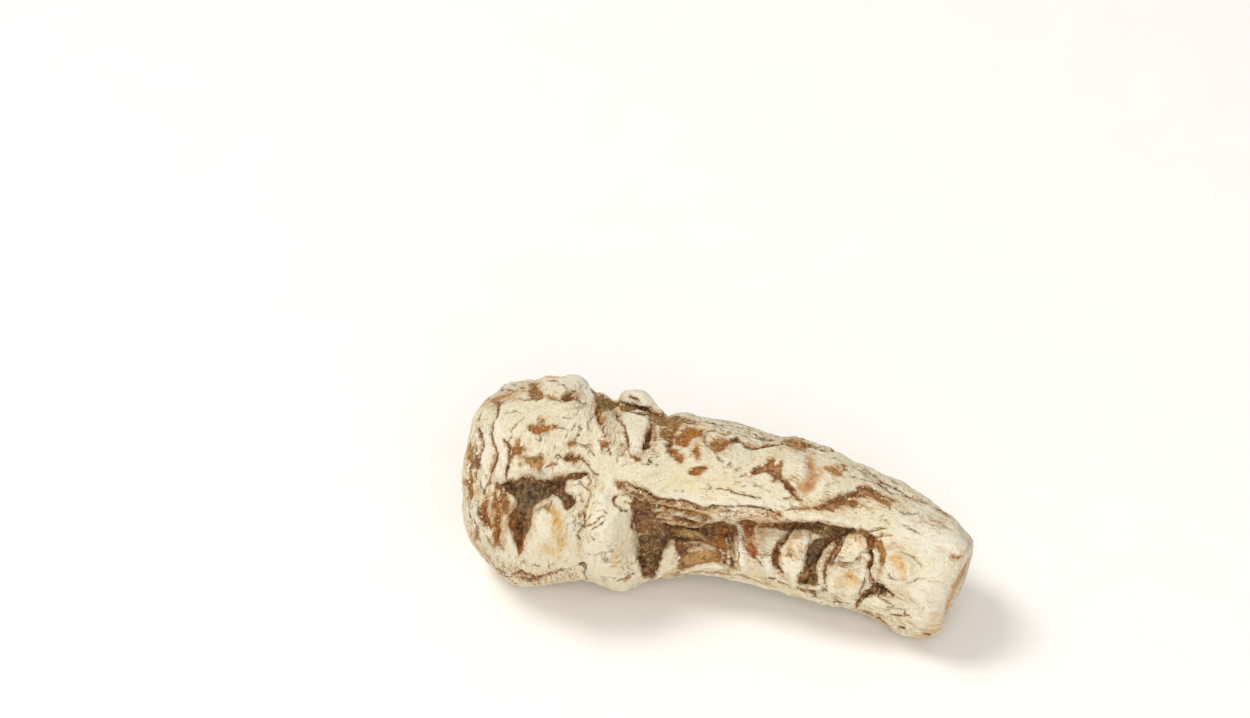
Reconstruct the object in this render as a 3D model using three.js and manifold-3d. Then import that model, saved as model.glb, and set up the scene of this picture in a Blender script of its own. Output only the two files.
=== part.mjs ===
// Dong quai root: one dried piece of the main root of Angelica sinensis, lying on its side.
// A blunt cut crown is at -X, the narrower cut tail at +X. Millimetres, +Z up, resting on z = 0.
// A lathe blank is drawn out along the root's spine, and its skin is then swollen and sunk.
import * as THREE from "three";
import { mergeVertices } from "three/addons/utils/BufferGeometryUtils.js";
import Module from "manifold-3d";

const { smoothstep, degToRad, radToDeg, euclideanModulo } = THREE.MathUtils;

// ---- driving dimensions ----
const CROWN_X = -35.1; // the crown's end face
const TAIL_X = 33.4; // the tail's cut face
const NOMINAL_RADIUS = 11; // of the lathe blank, before its sections are scaled
const CROWN_ROUNDING = 5.0; // how far the crown's edge is worn round
const TAIL_ROUNDING = 3.4; // how far the tail's edge is worn round
const CROWN_DOME = 0.7; // how far the crown's face stands proud of its rim
const CROWN_RIM = 0.9; // where the rounding of the crown's edge takes over from the dome
const TAIL_LEAN = 0.17; // the tail is cut aslant: its top stands further out than its foot
const CROWN_LEAN = 0.06; // and so does the crown's
const LEAN_REACH = 12; // the leans fade out this far from their ends
const ROWS = 68; // rings of skin from one end to the other
const COLUMNS = 66; // facets round each ring
const FLOOR = 0; // the skin is worn flat where it rests
const TOUCHING = 1e-3; // corners closer than this are one
const SKIN_COLOUR = 0xebe0c0;
const SKIN_ROUGHNESS = 0.88;

// Angles run round the root's section in degrees: 0 is the front (-Y), 90 the top, 180 the back.
const BROAD_ANGLE = 131; // the direction that a section's height is measured in

// Sections along the root: where the spine passes, and the section's half height and half depth.
const SECTIONS = [
  { x: -35.1, y: -1.6, z: 12.4, height: 12.7, depth: 12.4 },
  { x: -31.0, y: -2.4, z: 12.7, height: 13.1, depth: 13.0 },
  { x: -26.0, y: -3.7, z: 12.9, height: 13.5, depth: 13.2 },
  { x: -21.0, y: -3.9, z: 13.0, height: 13.3, depth: 12.8 },
  { x: -16.0, y: -2.8, z: 12.5, height: 12.2, depth: 11.8 },
  { x: -11.0, y: -1.5, z: 12.2, height: 11.7, depth: 11.0 },
  { x: -6.0, y: 0.0, z: 11.8, height: 11.2, depth: 10.4 },
  { x: -1.0, y: 0.8, z: 11.6, height: 10.7, depth: 10.0 },
  { x: 4.0, y: 1.1, z: 11.4, height: 10.2, depth: 9.7 },
  { x: 9.0, y: 1.1, z: 11.5, height: 10.1, depth: 9.5 },
  { x: 14.0, y: 0.9, z: 11.1, height: 10.0, depth: 9.2 },
  { x: 19.0, y: 0.8, z: 9.7, height: 9.1, depth: 8.9 },
  { x: 24.0, y: 0.3, z: 8.9, height: 9.2, depth: 8.5 },
  { x: 29.0, y: -1.1, z: 8.1, height: 8.8, depth: 8.1 },
  { x: 33.4, y: -1.3, z: 7.9, height: 8.5, depth: 7.8 },
];

// Swellings and hollows of the skin. along and around are how far each reaches, rise is how high.
const SWELLINGS = [
  { name: "crown knuckle", x: -21.9, angle: 124, along: 3.4, around: 5.5, rise: 1.5 },
  { name: "crown shoulder", x: -33.5, angle: 120, along: 4.2, around: 8.0, rise: -1.5 },
  { name: "crown cheek", x: -28.6, angle: 0, along: 4.4, around: 6.5, rise: 1.2 },
  { name: "left burl", x: -19.3, angle: 8, along: 3.4, around: 5.6, rise: 2.5 },
  { name: "right burl", x: -12.5, angle: 6, along: 3.3, around: 5.8, rise: 2.9 },
  { name: "burl foot", x: -11.9, angle: -42, along: 3.0, around: 3.8, rise: 1.7 },
  { name: "crown heel", x: -25.2, angle: -50, along: 4.2, around: 5.0, rise: 1.6 },
  { name: "pocket over the left burl", x: -21.8, angle: 36, along: 4.2, around: 2.5, rise: -2.2 },
  { name: "pocket beside the left burl", x: -23.6, angle: 14, along: 2.0, around: 4.4, rise: -1.8 },
  { name: "neck dip", x: -15.8, angle: 124, along: 3.2, around: 6.0, rise: -2.3 },
  { name: "upper bead", x: -0.5, angle: 92, along: 2.8, around: 3.2, rise: 0.8 },
  { name: "pit beside the upper bead", x: -5.2, angle: 92, along: 1.8, around: 3.6, rise: -1.3 },
  { name: "rootlet knob", x: 13.6, angle: 78, along: 2.8, around: 3.2, rise: 0.9 },
  { name: "pit beside the knob", x: 9.8, angle: 72, along: 2.0, around: 2.2, rise: -0.9 },
  { name: "tail knob", x: 25.4, angle: 28, along: 3.2, around: 3.0, rise: 0.5 },
  { name: "back burl", x: -23.5, angle: 196, along: 6.0, around: 6.2, rise: 2.0 },
  { name: "back burl pocket", x: -15.2, angle: 188, along: 2.4, around: 5.4, rise: -2.2 },
  { name: "back knob", x: -7.6, angle: 206, along: 3.4, around: 3.8, rise: 1.5 },
  { name: "back rootlet scar", x: 12.0, angle: 190, along: 3.0, around: 3.4, rise: 1.4 },
  { name: "back rootlet pit", x: 17.4, angle: 196, along: 2.2, around: 3.4, rise: -1.2 },
  { name: "under hollow", x: -2.0, angle: 264, along: 6.0, around: 4.4, rise: -1.3 },
  { name: "under knob", x: 6.0, angle: 238, along: 3.0, around: 3.4, rise: 1.0 },
];

// The trough along the front, where side roots were trimmed: it lies between two ridges of skin.
const TROUGH = {
  // low is the crest of the lower ridge, high the lip of the upper one, bank how wide its slope is
  points: [
    { x: -11.2, low: -28, high: 30, bank: 14, depth: 0.0 },
    { x: -8.2, low: -28, high: 36, bank: 19, depth: 3.0 },
    { x: -3.0, low: -20, high: 35, bank: 18, depth: 3.0 },
    { x: 3.0, low: -19, high: 35, bank: 14, depth: 2.7 },
    { x: 8.0, low: -15, high: 39, bank: 14, depth: 2.4 },
    { x: 13.5, low: -15, high: 46, bank: 14, depth: 2.2 },
    { x: 19.5, low: -22, high: 55, bank: 14, depth: 1.8 },
    { x: 24.4, low: -8, high: 52, bank: 14, depth: 0.0 },
  ],
  apron: 26, // degrees over which its floor rises to the lower ridge
};

// The back furrow, where the root split lengthwise as it dried.
const FURROW = {
  from: -12,
  to: 27,
  opening: 6, // how far it takes to reach its depth
  closing: 8, // and to run out
  angle: 163,
  twist: 0.5, // degrees that it winds round the root in each millimetre
  half: 9,
  depth: 1.8,
};

// Slow unevenness of a dried root: waves that wind round it. crests is how many each ring has.
const WAVES = [
  { crests: 2, winding: 0.21, start: 0.0, rise: 0.28 },
  { crests: 3, winding: -0.33, start: 1.2, rise: 0.22 },
  { crests: 5, winding: 0.52, start: 2.4, rise: 0.14 },
];

// A curl of skin that stands off the neck, held at its tail-ward end.
const CURL = {
  x: -12.8,
  angle: 128,
  lift: 1.1,
  length: 7.0,
  width: 4.0,
  thickness: 2.5,
  pitch: -17,
  narrowing: 0.5, // the share of its width that it has lost at its held end
  sag: 0.5, // how far its ends droop, as a share of its thickness
  facets: 20,
  rings: 14,
};

// ---- the spine and its sections ----
const spine = new THREE.CatmullRomCurve3(SECTIONS.map((s) => new THREE.Vector3(s.x, s.y, s.z)));
const girth = new THREE.CatmullRomCurve3(
  SECTIONS.map((s) => new THREE.Vector3(s.x, s.height, s.depth)),
);

// The share of a section curve's run at which it reaches x, found by halving.
function shareAt(curve, x) {
  let low = 0;
  let high = 1;
  for (let step = 0; step < 24; step++) {
    const middle = (low + high) / 2;
    if (curve.getPoint(middle).x < x) low = middle;
    else high = middle;
  }
  return (low + high) / 2;
}

function sectionAt(x) {
  const centre = spine.getPoint(shareAt(spine, x));
  const size = girth.getPoint(shareAt(girth, x));
  return { y: centre.y, z: centre.z, height: size.y, depth: size.z };
}

// Distance from the spine to the plain oval of a section, in the direction of angle.
function ovalRadius(section, angle) {
  const turned = degToRad(angle - BROAD_ANGLE);
  return 1 / Math.hypot(Math.cos(turned) / section.height, Math.sin(turned) / section.depth);
}

// ---- relief on the skin ----
const wrapped = (degrees) => euclideanModulo(degrees + 180, 360) - 180;

function swelling(bump, x, angle, radius) {
  const along = (x - bump.x) / bump.along;
  const around = (degToRad(wrapped(angle - bump.angle)) * radius) / bump.around;
  return bump.rise * Math.exp(-(along * along) - around * around);
}

// A value of the trough's table at x, blended smoothly between its neighbours.
function troughValue(key, x) {
  const points = TROUGH.points;
  if (x <= points[0].x) return points[0][key];
  for (let i = 1; i < points.length; i++) {
    const [a, b] = [points[i - 1], points[i]];
    if (x < b.x) return a[key] + (b[key] - a[key]) * smoothstep(x, a.x, b.x);
  }
  return points.at(-1)[key];
}

function trough(x, angle) {
  const a = wrapped(angle);
  const low = troughValue("low", x);
  const high = troughValue("high", x);
  const inside =
    smoothstep(a, low, low + TROUGH.apron) * (1 - smoothstep(a, high - troughValue("bank", x), high));
  return -troughValue("depth", x) * inside;
}

function furrow(x, angle) {
  const middle = FURROW.angle + FURROW.twist * (x - FURROW.from);
  const across = wrapped(angle - middle) / FURROW.half;
  const fade =
    smoothstep(x, FURROW.from, FURROW.from + FURROW.opening) *
    (1 - smoothstep(x, FURROW.to - FURROW.closing, FURROW.to));
  return -FURROW.depth * fade * Math.exp(-across * across);
}

function unevenness(x, angle) {
  const turn = degToRad(angle);
  return WAVES.reduce(
    (sum, wave) => sum + wave.rise * Math.sin(wave.crests * turn + wave.winding * x + wave.start),
    0,
  );
}

function relief(x, angle, radius) {
  const bumps = SWELLINGS.reduce((sum, bump) => sum + swelling(bump, x, angle, radius), 0);
  return bumps + trough(x, angle) + furrow(x, angle) + unevenness(x, angle);
}

// A point of the finished skin. fill is 1 on the flank and falls to 0 at the middle of an end face.
function skinPoint(x, angle, fill) {
  const section = sectionAt(x);
  const oval = ovalRadius(section, angle);
  const radius = (oval + relief(x, angle, oval)) * fill;
  const up = Math.sin(degToRad(angle));
  const lean =
    TAIL_LEAN * radius * up * smoothstep(x, TAIL_X - LEAN_REACH, TAIL_X) -
    CROWN_LEAN * radius * up * (1 - smoothstep(x, CROWN_X, CROWN_X + LEAN_REACH));
  return new THREE.Vector3(
    x + lean,
    section.y - radius * Math.cos(degToRad(angle)),
    section.z + radius * up,
  );
}

// ---- solids ----
// The blank's half outline: up the domed crown face, along the flank, and down the cut tail face.
function blankOutline() {
  const outline = new THREE.Path();
  const r = NOMINAL_RADIUS;
  outline.moveTo(0, CROWN_X);
  outline.lineTo(r - CROWN_ROUNDING, CROWN_X + CROWN_DOME);
  outline.quadraticCurveTo(r, CROWN_X + CROWN_RIM, r, CROWN_X + CROWN_ROUNDING);
  outline.lineTo(r, TAIL_X - TAIL_ROUNDING);
  outline.quadraticCurveTo(r, TAIL_X, r - TAIL_ROUNDING, TAIL_X);
  outline.lineTo(0, TAIL_X);
  return outline.getSpacedPoints(ROWS).map((p) => new THREE.Vector2(Math.max(p.x, 0), p.y));
}

// Drawing the blank out: each of its vertices goes to its place on the root's skin.
function drawnOut(blank) {
  const place = blank.getAttribute("position");
  const vertex = new THREE.Vector3();
  for (let i = 0; i < place.count; i++) {
    vertex.fromBufferAttribute(place, i);
    const distance = Math.hypot(vertex.x, vertex.z);
    const fill = distance < TOUCHING ? 0 : distance / NOMINAL_RADIUS;
    const angle = fill === 0 ? 0 : radToDeg(Math.atan2(vertex.z, vertex.x));
    const skin = skinPoint(vertex.y, angle, fill);
    place.setXYZ(i, skin.x, skin.y, Math.max(skin.z, FLOOR));
  }
  return blank;
}

// The curl is a flattened bead, narrower at its held end.
function curlOfSkin() {
  const bead = new THREE.SphereGeometry(0.5, CURL.facets, CURL.rings);
  bead.rotateZ(Math.PI / 2);
  const place = bead.getAttribute("position");
  for (let i = 0; i < place.count; i++) {
    const [x, y, z] = [place.getX(i), place.getY(i), place.getZ(i)];
    const taper = 1 - CURL.narrowing * smoothstep(x, -0.1, 0.5);
    place.setXYZ(
      i,
      x * CURL.length,
      y * CURL.width * taper,
      CURL.thickness * (z * taper - CURL.sag * x * x),
    );
  }
  const seat = skinPoint(CURL.x, CURL.angle, 1);
  const outward = degToRad(CURL.angle);
  const stand = new THREE.Vector3(0, -Math.cos(outward), Math.sin(outward));
  bead.rotateX(degToRad(CURL.angle - 90) * -1);
  bead.rotateY(degToRad(-CURL.pitch));
  bead.translate(...seat.addScaledVector(stand, CURL.lift));
  return bead;
}

// ---- joining ----
const wasm = await Module();
wasm.setup();

function toManifold(geometry) {
  const bare = geometry.clone();
  bare.deleteAttribute("normal");
  bare.deleteAttribute("uv");
  const merged = mergeVertices(bare, TOUCHING);
  return new wasm.Manifold(
    new wasm.Mesh({
      numProp: 3,
      vertProperties: new Float32Array(merged.getAttribute("position").array),
      triVerts: new Uint32Array(merged.index.array),
    }),
  );
}

function toGeometry(manifold) {
  const mesh = manifold.getMesh();
  const geometry = new THREE.BufferGeometry();
  geometry.setAttribute("position", new THREE.BufferAttribute(mesh.vertProperties, 3));
  geometry.setIndex(new THREE.BufferAttribute(mesh.triVerts, 1));
  geometry.computeVertexNormals();
  return geometry;
}

// ---- the root, centred over its origin ----
const body = toManifold(drawnOut(new THREE.LatheGeometry(blankOutline(), COLUMNS)));
const rootGeometry = toGeometry(body.add(toManifold(curlOfSkin())));
rootGeometry.computeBoundingBox();
const middle = rootGeometry.boundingBox.getCenter(new THREE.Vector3());

const drySkin = new THREE.MeshStandardMaterial({
  color: SKIN_COLOUR,
  roughness: SKIN_ROUGHNESS,
  metalness: 0,
});
const root = new THREE.Mesh(rootGeometry, drySkin);
root.name = "dong_quai_root";
root.position.set(-middle.x, -middle.y, 0);

const model = new THREE.Group();
model.add(root);

export default model;
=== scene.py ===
"""A dried piece of dong quai root, lying on its side on a pale floor.

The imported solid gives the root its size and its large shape. Here its skin is sculpted: the burls,
the trough with its lips, ribs and flakes, the cracks, and the bark that is left in the hollows.
Work on the skin is done in millimetres and the finished mesh is brought back to metres.
"""

from __future__ import annotations

import itertools
import logging
import math
from dataclasses import dataclass
from enum import Enum
from typing import Any, Sequence

import bmesh
import bpy
import numpy as np
from mathutils import Matrix, Vector


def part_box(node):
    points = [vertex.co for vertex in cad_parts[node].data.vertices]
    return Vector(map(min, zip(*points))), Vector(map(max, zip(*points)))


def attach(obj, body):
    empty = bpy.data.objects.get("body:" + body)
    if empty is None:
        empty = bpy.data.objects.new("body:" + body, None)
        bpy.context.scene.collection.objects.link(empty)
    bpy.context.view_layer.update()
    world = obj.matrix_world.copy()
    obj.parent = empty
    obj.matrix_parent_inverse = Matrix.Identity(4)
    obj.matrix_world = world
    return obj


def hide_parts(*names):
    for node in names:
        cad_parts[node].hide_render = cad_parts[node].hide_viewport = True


LOG = logging.getLogger("dong_quai_root")
NODE = "dong_quai_root"
BODY = "root"
MM = 0.001

Array = np.ndarray
Link = bpy.types.NodeSocket
Line = Sequence[float] | Array
Place = tuple[float, float, float]

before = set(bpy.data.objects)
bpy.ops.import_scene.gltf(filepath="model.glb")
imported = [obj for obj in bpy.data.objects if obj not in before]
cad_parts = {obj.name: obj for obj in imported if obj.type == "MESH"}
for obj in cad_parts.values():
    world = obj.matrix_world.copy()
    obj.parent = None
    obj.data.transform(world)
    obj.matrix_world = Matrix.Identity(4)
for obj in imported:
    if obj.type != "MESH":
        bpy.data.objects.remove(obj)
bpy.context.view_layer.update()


class Hue(Enum):
    """The root's colours, as they look in daylight (red, green and blue out of 255)."""

    CREAM = (243, 233, 204)
    CHALK = (250, 246, 230)
    STRAW = (238, 221, 172)
    TAN = (206, 163, 106)
    AMBER = (224, 162, 68)
    RUST = (182, 112, 48)
    SIENNA = (156, 100, 50)
    BLUSH = (214, 128, 92)
    BARK = (152, 110, 68)
    MAUVE = (152, 108, 80)
    OLIVE = (144, 120, 74)
    SOIL = (116, 88, 58)
    ASH = (140, 118, 94)
    PEAT = (66, 50, 36)
    LOAM = (136, 108, 76)
    HONEY = (226, 190, 124)
    BRICK = (188, 84, 56)

    @property
    def linear(self) -> tuple[float, float, float]:
        """The colour as linear light."""
        shares = (value / 255.0 for value in self.value)
        return tuple(c / 12.92 if c <= 0.04045 else ((c + 0.055) / 1.055) ** 2.4 for c in shares)


(
    CREAM, CHALK, STRAW, TAN, AMBER, RUST, SIENNA, BLUSH, BARK, MAUVE, OLIVE, SOIL, ASH, PEAT, LOAM, HONEY,
    BRICK,
) = Hue


def shown(name: str, data: bpy.types.ID) -> bpy.types.Object:
    """Puts something into the scene.

    Args:
        name: the object's name.
        data: its mesh, light or camera.

    Returns:
        The object.
    """
    piece = bpy.data.objects.new(name, data)
    bpy.context.scene.collection.objects.link(piece)
    return piece


# ---- numbers on points ----


def ease(value: Array, low: float | Array, high: float | Array) -> Array:
    """Rises smoothly from 0 at low to 1 at high."""
    t = np.clip((value - low) / (high - low), 0.0, 1.0)
    return t * t * (3.0 - 2.0 * t)


class Grain:
    """Smooth random values in space, the same for the same seed."""

    SIZE = 4096
    STEPS = (73856093, 19349663, 83492791)
    STRENGTH = 1.6
    LAYER_SHIFT = 17.3

    def __init__(self, seed: int) -> None:
        """Draws the slopes at the lattice points, which the seed fixes."""
        slopes = np.random.default_rng(seed).normal(size=(self.SIZE, 3))
        self.slopes = slopes / np.linalg.norm(slopes, axis=1, keepdims=True)

    def at(self, place: Array) -> Array:
        """Values from about -1 to 1 at places counted in lattice steps.

        Args:
            place: n by 3 coordinates.

        Returns:
            n values.
        """
        cell = np.floor(place).astype(np.int64)
        inside = place - cell
        share = inside**3 * (inside * (inside * 6.0 - 15.0) + 10.0)
        total = np.zeros(len(place))
        for corner in itertools.product((0, 1), repeat=3):
            step = np.array(corner)
            key = ((cell + step) * self.STEPS).sum(axis=1) % self.SIZE
            slope = (self.slopes[key] * (inside - step)).sum(axis=1)
            total += slope * np.where(step == 1, share, 1.0 - share).prod(axis=1)
        return total * self.STRENGTH

    def layers(self, place: Array, size: float | Sequence[float], count: int = 3) -> Array:
        """Layers of ever finer grain, each half as strong as the one before.

        Args:
            place: n by 3 coordinates in millimetres.
            size: the coarsest layer's grain size in millimetres, for all axes or one for each.
            count: how many layers.

        Returns:
            n values from about -1 to 1.
        """
        scaled = place / np.asarray(size)
        total = np.zeros(len(place))
        for layer in range(count):
            total += self.at(scaled * 2.0**layer + self.LAYER_SHIFT * layer) / 2.0**layer
        return total / 1.5


GRAINS = [Grain(seed) for seed in (11, 23, 37, 41, 53)]


# ---- lines on a side of the root: right and up in turn, in millimetres ----


def curved(points: Line, closed: bool = False, cuts: int = 3) -> Array:
    """A smooth line through some points.

    Args:
        points: the points to pass.
        closed: whether the last point joins the first.
        cuts: pieces between one point and the next.

    Returns:
        The points of the smooth line, one in each row.
    """
    points = np.reshape(points, (-1, 2))
    if closed:
        padded = np.vstack([points[-1:], points, points[:2]])
    else:
        padded = np.vstack([2 * points[0] - points[1], points, 2 * points[-1] - points[-2]])
    t = np.linspace(0.0, 1.0, cuts, endpoint=False)[:, None]
    parts = [
        0.5 * (2 * b + (c - a) * t + (2 * a - 5 * b + 4 * c - d) * t**2 + (3 * b - a - 3 * c + d) * t**3)
        for a, b, c, d in zip(padded, padded[1:], padded[2:], padded[3:])
    ]
    return np.vstack([*parts, padded[1:2] if closed else padded[-2:-1]])


def measure(place: Array, run: Array) -> tuple[Array, Array]:
    """How places lie against a line.

    Args:
        place: n by 2 places on the drawing plane.
        run: the line's points.

    Returns:
        The distance to the line, below 0 on its right, and how far along it its nearest point
        is, from 0 to 1.
    """
    side = np.full(len(place), np.inf)
    share = np.zeros(len(place))
    steps = np.diff(run, axis=0)
    lengths = np.linalg.norm(steps, axis=1)
    whole, done = lengths.sum(), 0.0
    for start, step, length in zip(run, steps, lengths):
        t = np.clip((place - start) @ step / length**2, 0.0, 1.0)
        off = place - start - t[:, None] * step
        distance = np.hypot(off[:, 0], off[:, 1])
        closer = distance < np.abs(side)
        left = step[0] * off[:, 1] - step[1] * off[:, 0]
        side = np.where(closer, np.where(left > 0, distance, -distance), side)
        share = np.where(closer, (done + t * length) / whole, share)
        done += length
    return side, np.clip(share, 0.0, 1.0)


def depth_inside(place: Array, outline: Array) -> Array:
    """Depth inside a closed outline, below 0 outside it.

    Args:
        place: n by 2 places on the drawing plane.
        outline: the outline's points.

    Returns:
        n distances.
    """
    gap = np.abs(measure(place, outline)[0])
    odd = np.zeros(len(place), bool)
    for a, b in zip(outline, outline[1:]):
        if a[1] != b[1]:
            crosses = (a[1] > place[:, 1]) != (b[1] > place[:, 1])
            odd ^= crosses & (place[:, 0] < a[0] + (place[:, 1] - a[1]) / (b[1] - a[1]) * (b[0] - a[0]))
    return np.where(odd, gap, -gap)


@dataclass(frozen=True)
class Bearing:
    """A side that the root is drawn from: the drawing plane stands through its centre.

    azimuth and elevation are in degrees, as is usual: azimuth 0 looks along +Y. station is how far
    off the eye stands, in millimetres, and eye_right and eye_up are how far it stands off square.
    """

    azimuth: float
    elevation: float
    centre: Place
    station: float = 1.0e5
    eye_right: float = 0.0
    eye_up: float = 0.0

    @property
    def right(self) -> Array:
        """The drawing plane's direction to the right."""
        a = math.radians(self.azimuth)
        return np.array([math.cos(a), math.sin(a), 0.0])

    @property
    def back(self) -> Array:
        """From the root towards the eye."""
        a, e = math.radians(self.azimuth), math.radians(self.elevation)
        return np.array([math.sin(a) * math.cos(e), -math.cos(a) * math.cos(e), math.sin(e)])

    @property
    def up(self) -> Array:
        """The drawing plane's upward direction."""
        return np.cross(self.back, self.right)

    @property
    def eye(self) -> Array:
        """Where the eye stands, in millimetres."""
        return np.array(self.centre) + self.lead(self.eye_right, self.eye_up) + self.station * self.back

    def lead(self, right: float, up: float) -> Array:
        """A shift on the drawing plane, as a shift in space."""
        return right * self.right + up * self.up

    def place(self, points: Array) -> Array:
        """Where points are seen on the drawing plane.

        Args:
            points: n by 3 points.

        Returns:
            n by 2 places, right and up from the plane's centre.
        """
        sight = points - self.eye
        scale = self.station / -(sight @ self.back)
        seen_right = self.eye_right + (sight @ self.right) * scale
        return np.column_stack([seen_right, self.eye_up + (sight @ self.up) * scale])

    def facing(self, points: Array, normals: Array) -> Array:
        """How squarely each bit of skin faces the eye, from 1 to -1."""
        sight = self.eye - points
        return (normals * sight).sum(axis=1) / np.linalg.norm(sight, axis=1)


FRONT = Bearing(18.0, 40.0, (-0.2, 1.6, 12.9), station=632.8, eye_right=-12.55, eye_up=19.98)
REAR = Bearing(200.0, 28.0, (0.0, 0.0, 12.0))
CROWN_END = Bearing(-90.0, 8.0, (-34.0, 0.0, 12.0))
TAIL_END = Bearing(90.0, 8.0, (34.0, 0.0, 8.0))


# ---- what is drawn ----


class Marks:
    """What the drawings leave on the skin's points, in millimetres and colours.

    bark is how far inside bared bark a point is and sunk how deep the bark lies there. A seam is
    the crack nearest to the point: seam_side is the distance from its middle, with a sign.
    """

    FAR = 2.0

    def __init__(self, thickness: Array) -> None:
        """Starts with bare skin.

        Args:
            thickness: a random value for each point, by which lines vary in width.
        """
        count = len(thickness)
        self.thickness = thickness
        self.bark, self.sunk = np.full(count, -self.FAR), np.full(count, 0.2)
        self.bark_tint, self.skin_tint = (np.tile(hue.linear, (count, 1)) for hue in (BARK, CREAM))
        self.seam_side, self.seam_half = np.full(count, self.FAR), np.full(count, 0.1)
        self.seam_depth, self.wear, self.proud = np.zeros((3, count))

    def tint(self, colours: Array, at: Array, hue: Hue, share: Array) -> None:
        """Turns colours towards a hue by a share, at some of the points."""
        colours[at] += (np.array(hue.linear) - colours[at]) * share[:, None]

    def brink(self) -> Array:
        """How far each point is from the edge of the nearest seam: below 0 in the seam."""
        return np.abs(self.seam_side) - self.seam_half

    def seam(self, at: Array, side: Array, half: Array, depth: float) -> None:
        """Draws a seam where it is nearer than the seams before it.

        Args:
            at: the points that it may reach.
            side: their distance from it, with a sign.
            half: half its width there.
            depth: how deep it is.
        """
        nearer = np.abs(side) - half < self.brink()[at]
        at = at[nearer]
        self.seam_side[at], self.seam_half[at], self.seam_depth[at] = side[nearer], half[nearer], depth


@dataclass
class Pen:
    """Puts a drawing onto the skin's points.

    place is where they are seen, weight is how fully a mark takes on each of them, and outward is
    the way in which a raised form rises there.
    """

    drawing: Drawing
    place: Array
    weight: Array
    outward: Array
    margin: float = 2.7

    def reached(self, run: Array) -> tuple[Array, Array, Array]:
        """Finds the points that are near enough to a line to matter.

        Args:
            run: the line's points.

        Returns:
            The points, their places and their weights.
        """
        low, high = run.min(axis=0) - self.margin, run.max(axis=0) + self.margin
        inside = ((self.place > low) & (self.place < high)).all(axis=1)
        at = np.flatnonzero(inside & (self.weight > 0.0))
        return at, self.place[at], self.weight[at]

    def along(self, run: Array) -> tuple[Array, Array, Array, Array]:
        """The points near a line, their weights, and how they lie against it."""
        at, place, weight = self.reached(run)
        return at, weight, *measure(place, run)

    def within(self, outline: Line) -> tuple[Array, Array, Array]:
        """Finds how points lie in the curve that an outline makes.

        Args:
            outline: the points that its curve passes.

        Returns:
            The points near it, their weights and how far inside they are.
        """
        curve = curved(outline, closed=True)
        at, place, weight = self.reached(curve)
        return at, weight, depth_inside(place, curve)


@dataclass(frozen=True)
class Crack:
    """A crack or crease of the skin, thin at its ends, with the bark that shows in it."""

    run: Line
    half: float = 0.14
    depth: float = 0.3
    hue: Hue = SIENNA

    def draw(self, pen: Pen, marks: Marks) -> None:
        """Cuts the crack.

        Args:
            pen: draws on its side.
            marks: what is drawn so far.
        """
        at, weight, side, share = pen.along(curved(self.run, cuts=4))
        swell = 0.3 + 0.6 * np.sin(np.pi * share) ** 0.6
        half = self.half * swell * (1.0 + 0.8 * marks.thickness[at]) * weight
        marks.tint(marks.bark_tint, at, self.hue, ease(half - np.abs(side), -0.35, 0.0))
        marks.seam(at, side, half, self.depth)


@dataclass(frozen=True)
class Patch:
    """An area of bark in a hollow, with a ragged edge."""

    outline: Line
    hue: Hue = BARK
    depth: float = 0.3

    def draw(self, pen: Pen, marks: Marks) -> None:
        """Lays the bark.

        Args:
            pen: draws on its side.
            marks: what is drawn so far.
        """
        at, weight, inside = pen.within(self.outline)
        inside = np.where(weight > 0.3, inside, -marks.FAR)
        marks.bark[at] = np.maximum(marks.bark[at], inside)
        share = ease(inside, -0.6, 0.1)
        marks.sunk[at] += (self.depth - marks.sunk[at]) * share
        marks.tint(marks.bark_tint, at, self.hue, share)


@dataclass(frozen=True)
class Fibre:
    """A strand of pale skin that stands proud of the bark round it."""

    run: Line
    half: float
    rise: float = 0.25
    hue: Hue = CREAM

    def draw(self, pen: Pen, marks: Marks) -> None:
        """Lays the strand over the bark.

        Args:
            pen: draws on its side.
            marks: what is drawn so far.
        """
        at, weight, side, share = pen.along(curved(self.run, cuts=4))
        gap = np.abs(side)
        ends = np.sin(np.pi * share) ** 0.5
        half = self.half * (0.3 + 0.7 * ends) * (1.0 + 0.5 * marks.thickness[at])
        marks.bark[at] = np.minimum(marks.bark[at], gap - half - 0.1)
        cover = (1.0 - ease(gap, 0.5 * half, half + 0.2)) * weight
        marks.proud[at] = np.maximum(marks.proud[at], self.rise * ends * cover)
        marks.tint(marks.skin_tint, at, self.hue, cover)


@dataclass(frozen=True)
class Stain:
    """A stain on the pale skin, strongest at its middle line and fading out over its reach."""

    run: Line
    reach: float
    hue: Hue = AMBER
    strength: float = 0.8

    def draw(self, pen: Pen, marks: Marks) -> None:
        """Stains the skin.

        Args:
            pen: draws on its side.
            marks: what is drawn so far.
        """
        at, weight, side, _ = pen.along(np.reshape(self.run, (-1, 2)))
        gap = np.abs(side) + 0.5 * self.reach * marks.thickness[at]
        share = min(1.3 * self.strength, 1.0) * (1.0 - ease(gap, 0.0, self.reach)) * weight
        marks.tint(marks.skin_tint, at, self.hue, share)


@dataclass(frozen=True)
class Wear:
    """A stretch where the skin is thin: specks and short dashes of bark show through it."""

    run: Line
    reach: float
    strength: float = 1.0

    def draw(self, pen: Pen, marks: Marks) -> None:
        """Thins the skin.

        Args:
            pen: draws on its side.
            marks: what is drawn so far.
        """
        at, weight, side, _ = pen.along(np.reshape(self.run, (-1, 2)))
        share = self.strength * (1.0 - ease(np.abs(side), 0.2 * self.reach, self.reach)) * weight
        marks.wear[at] = np.maximum(marks.wear[at], share)


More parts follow.
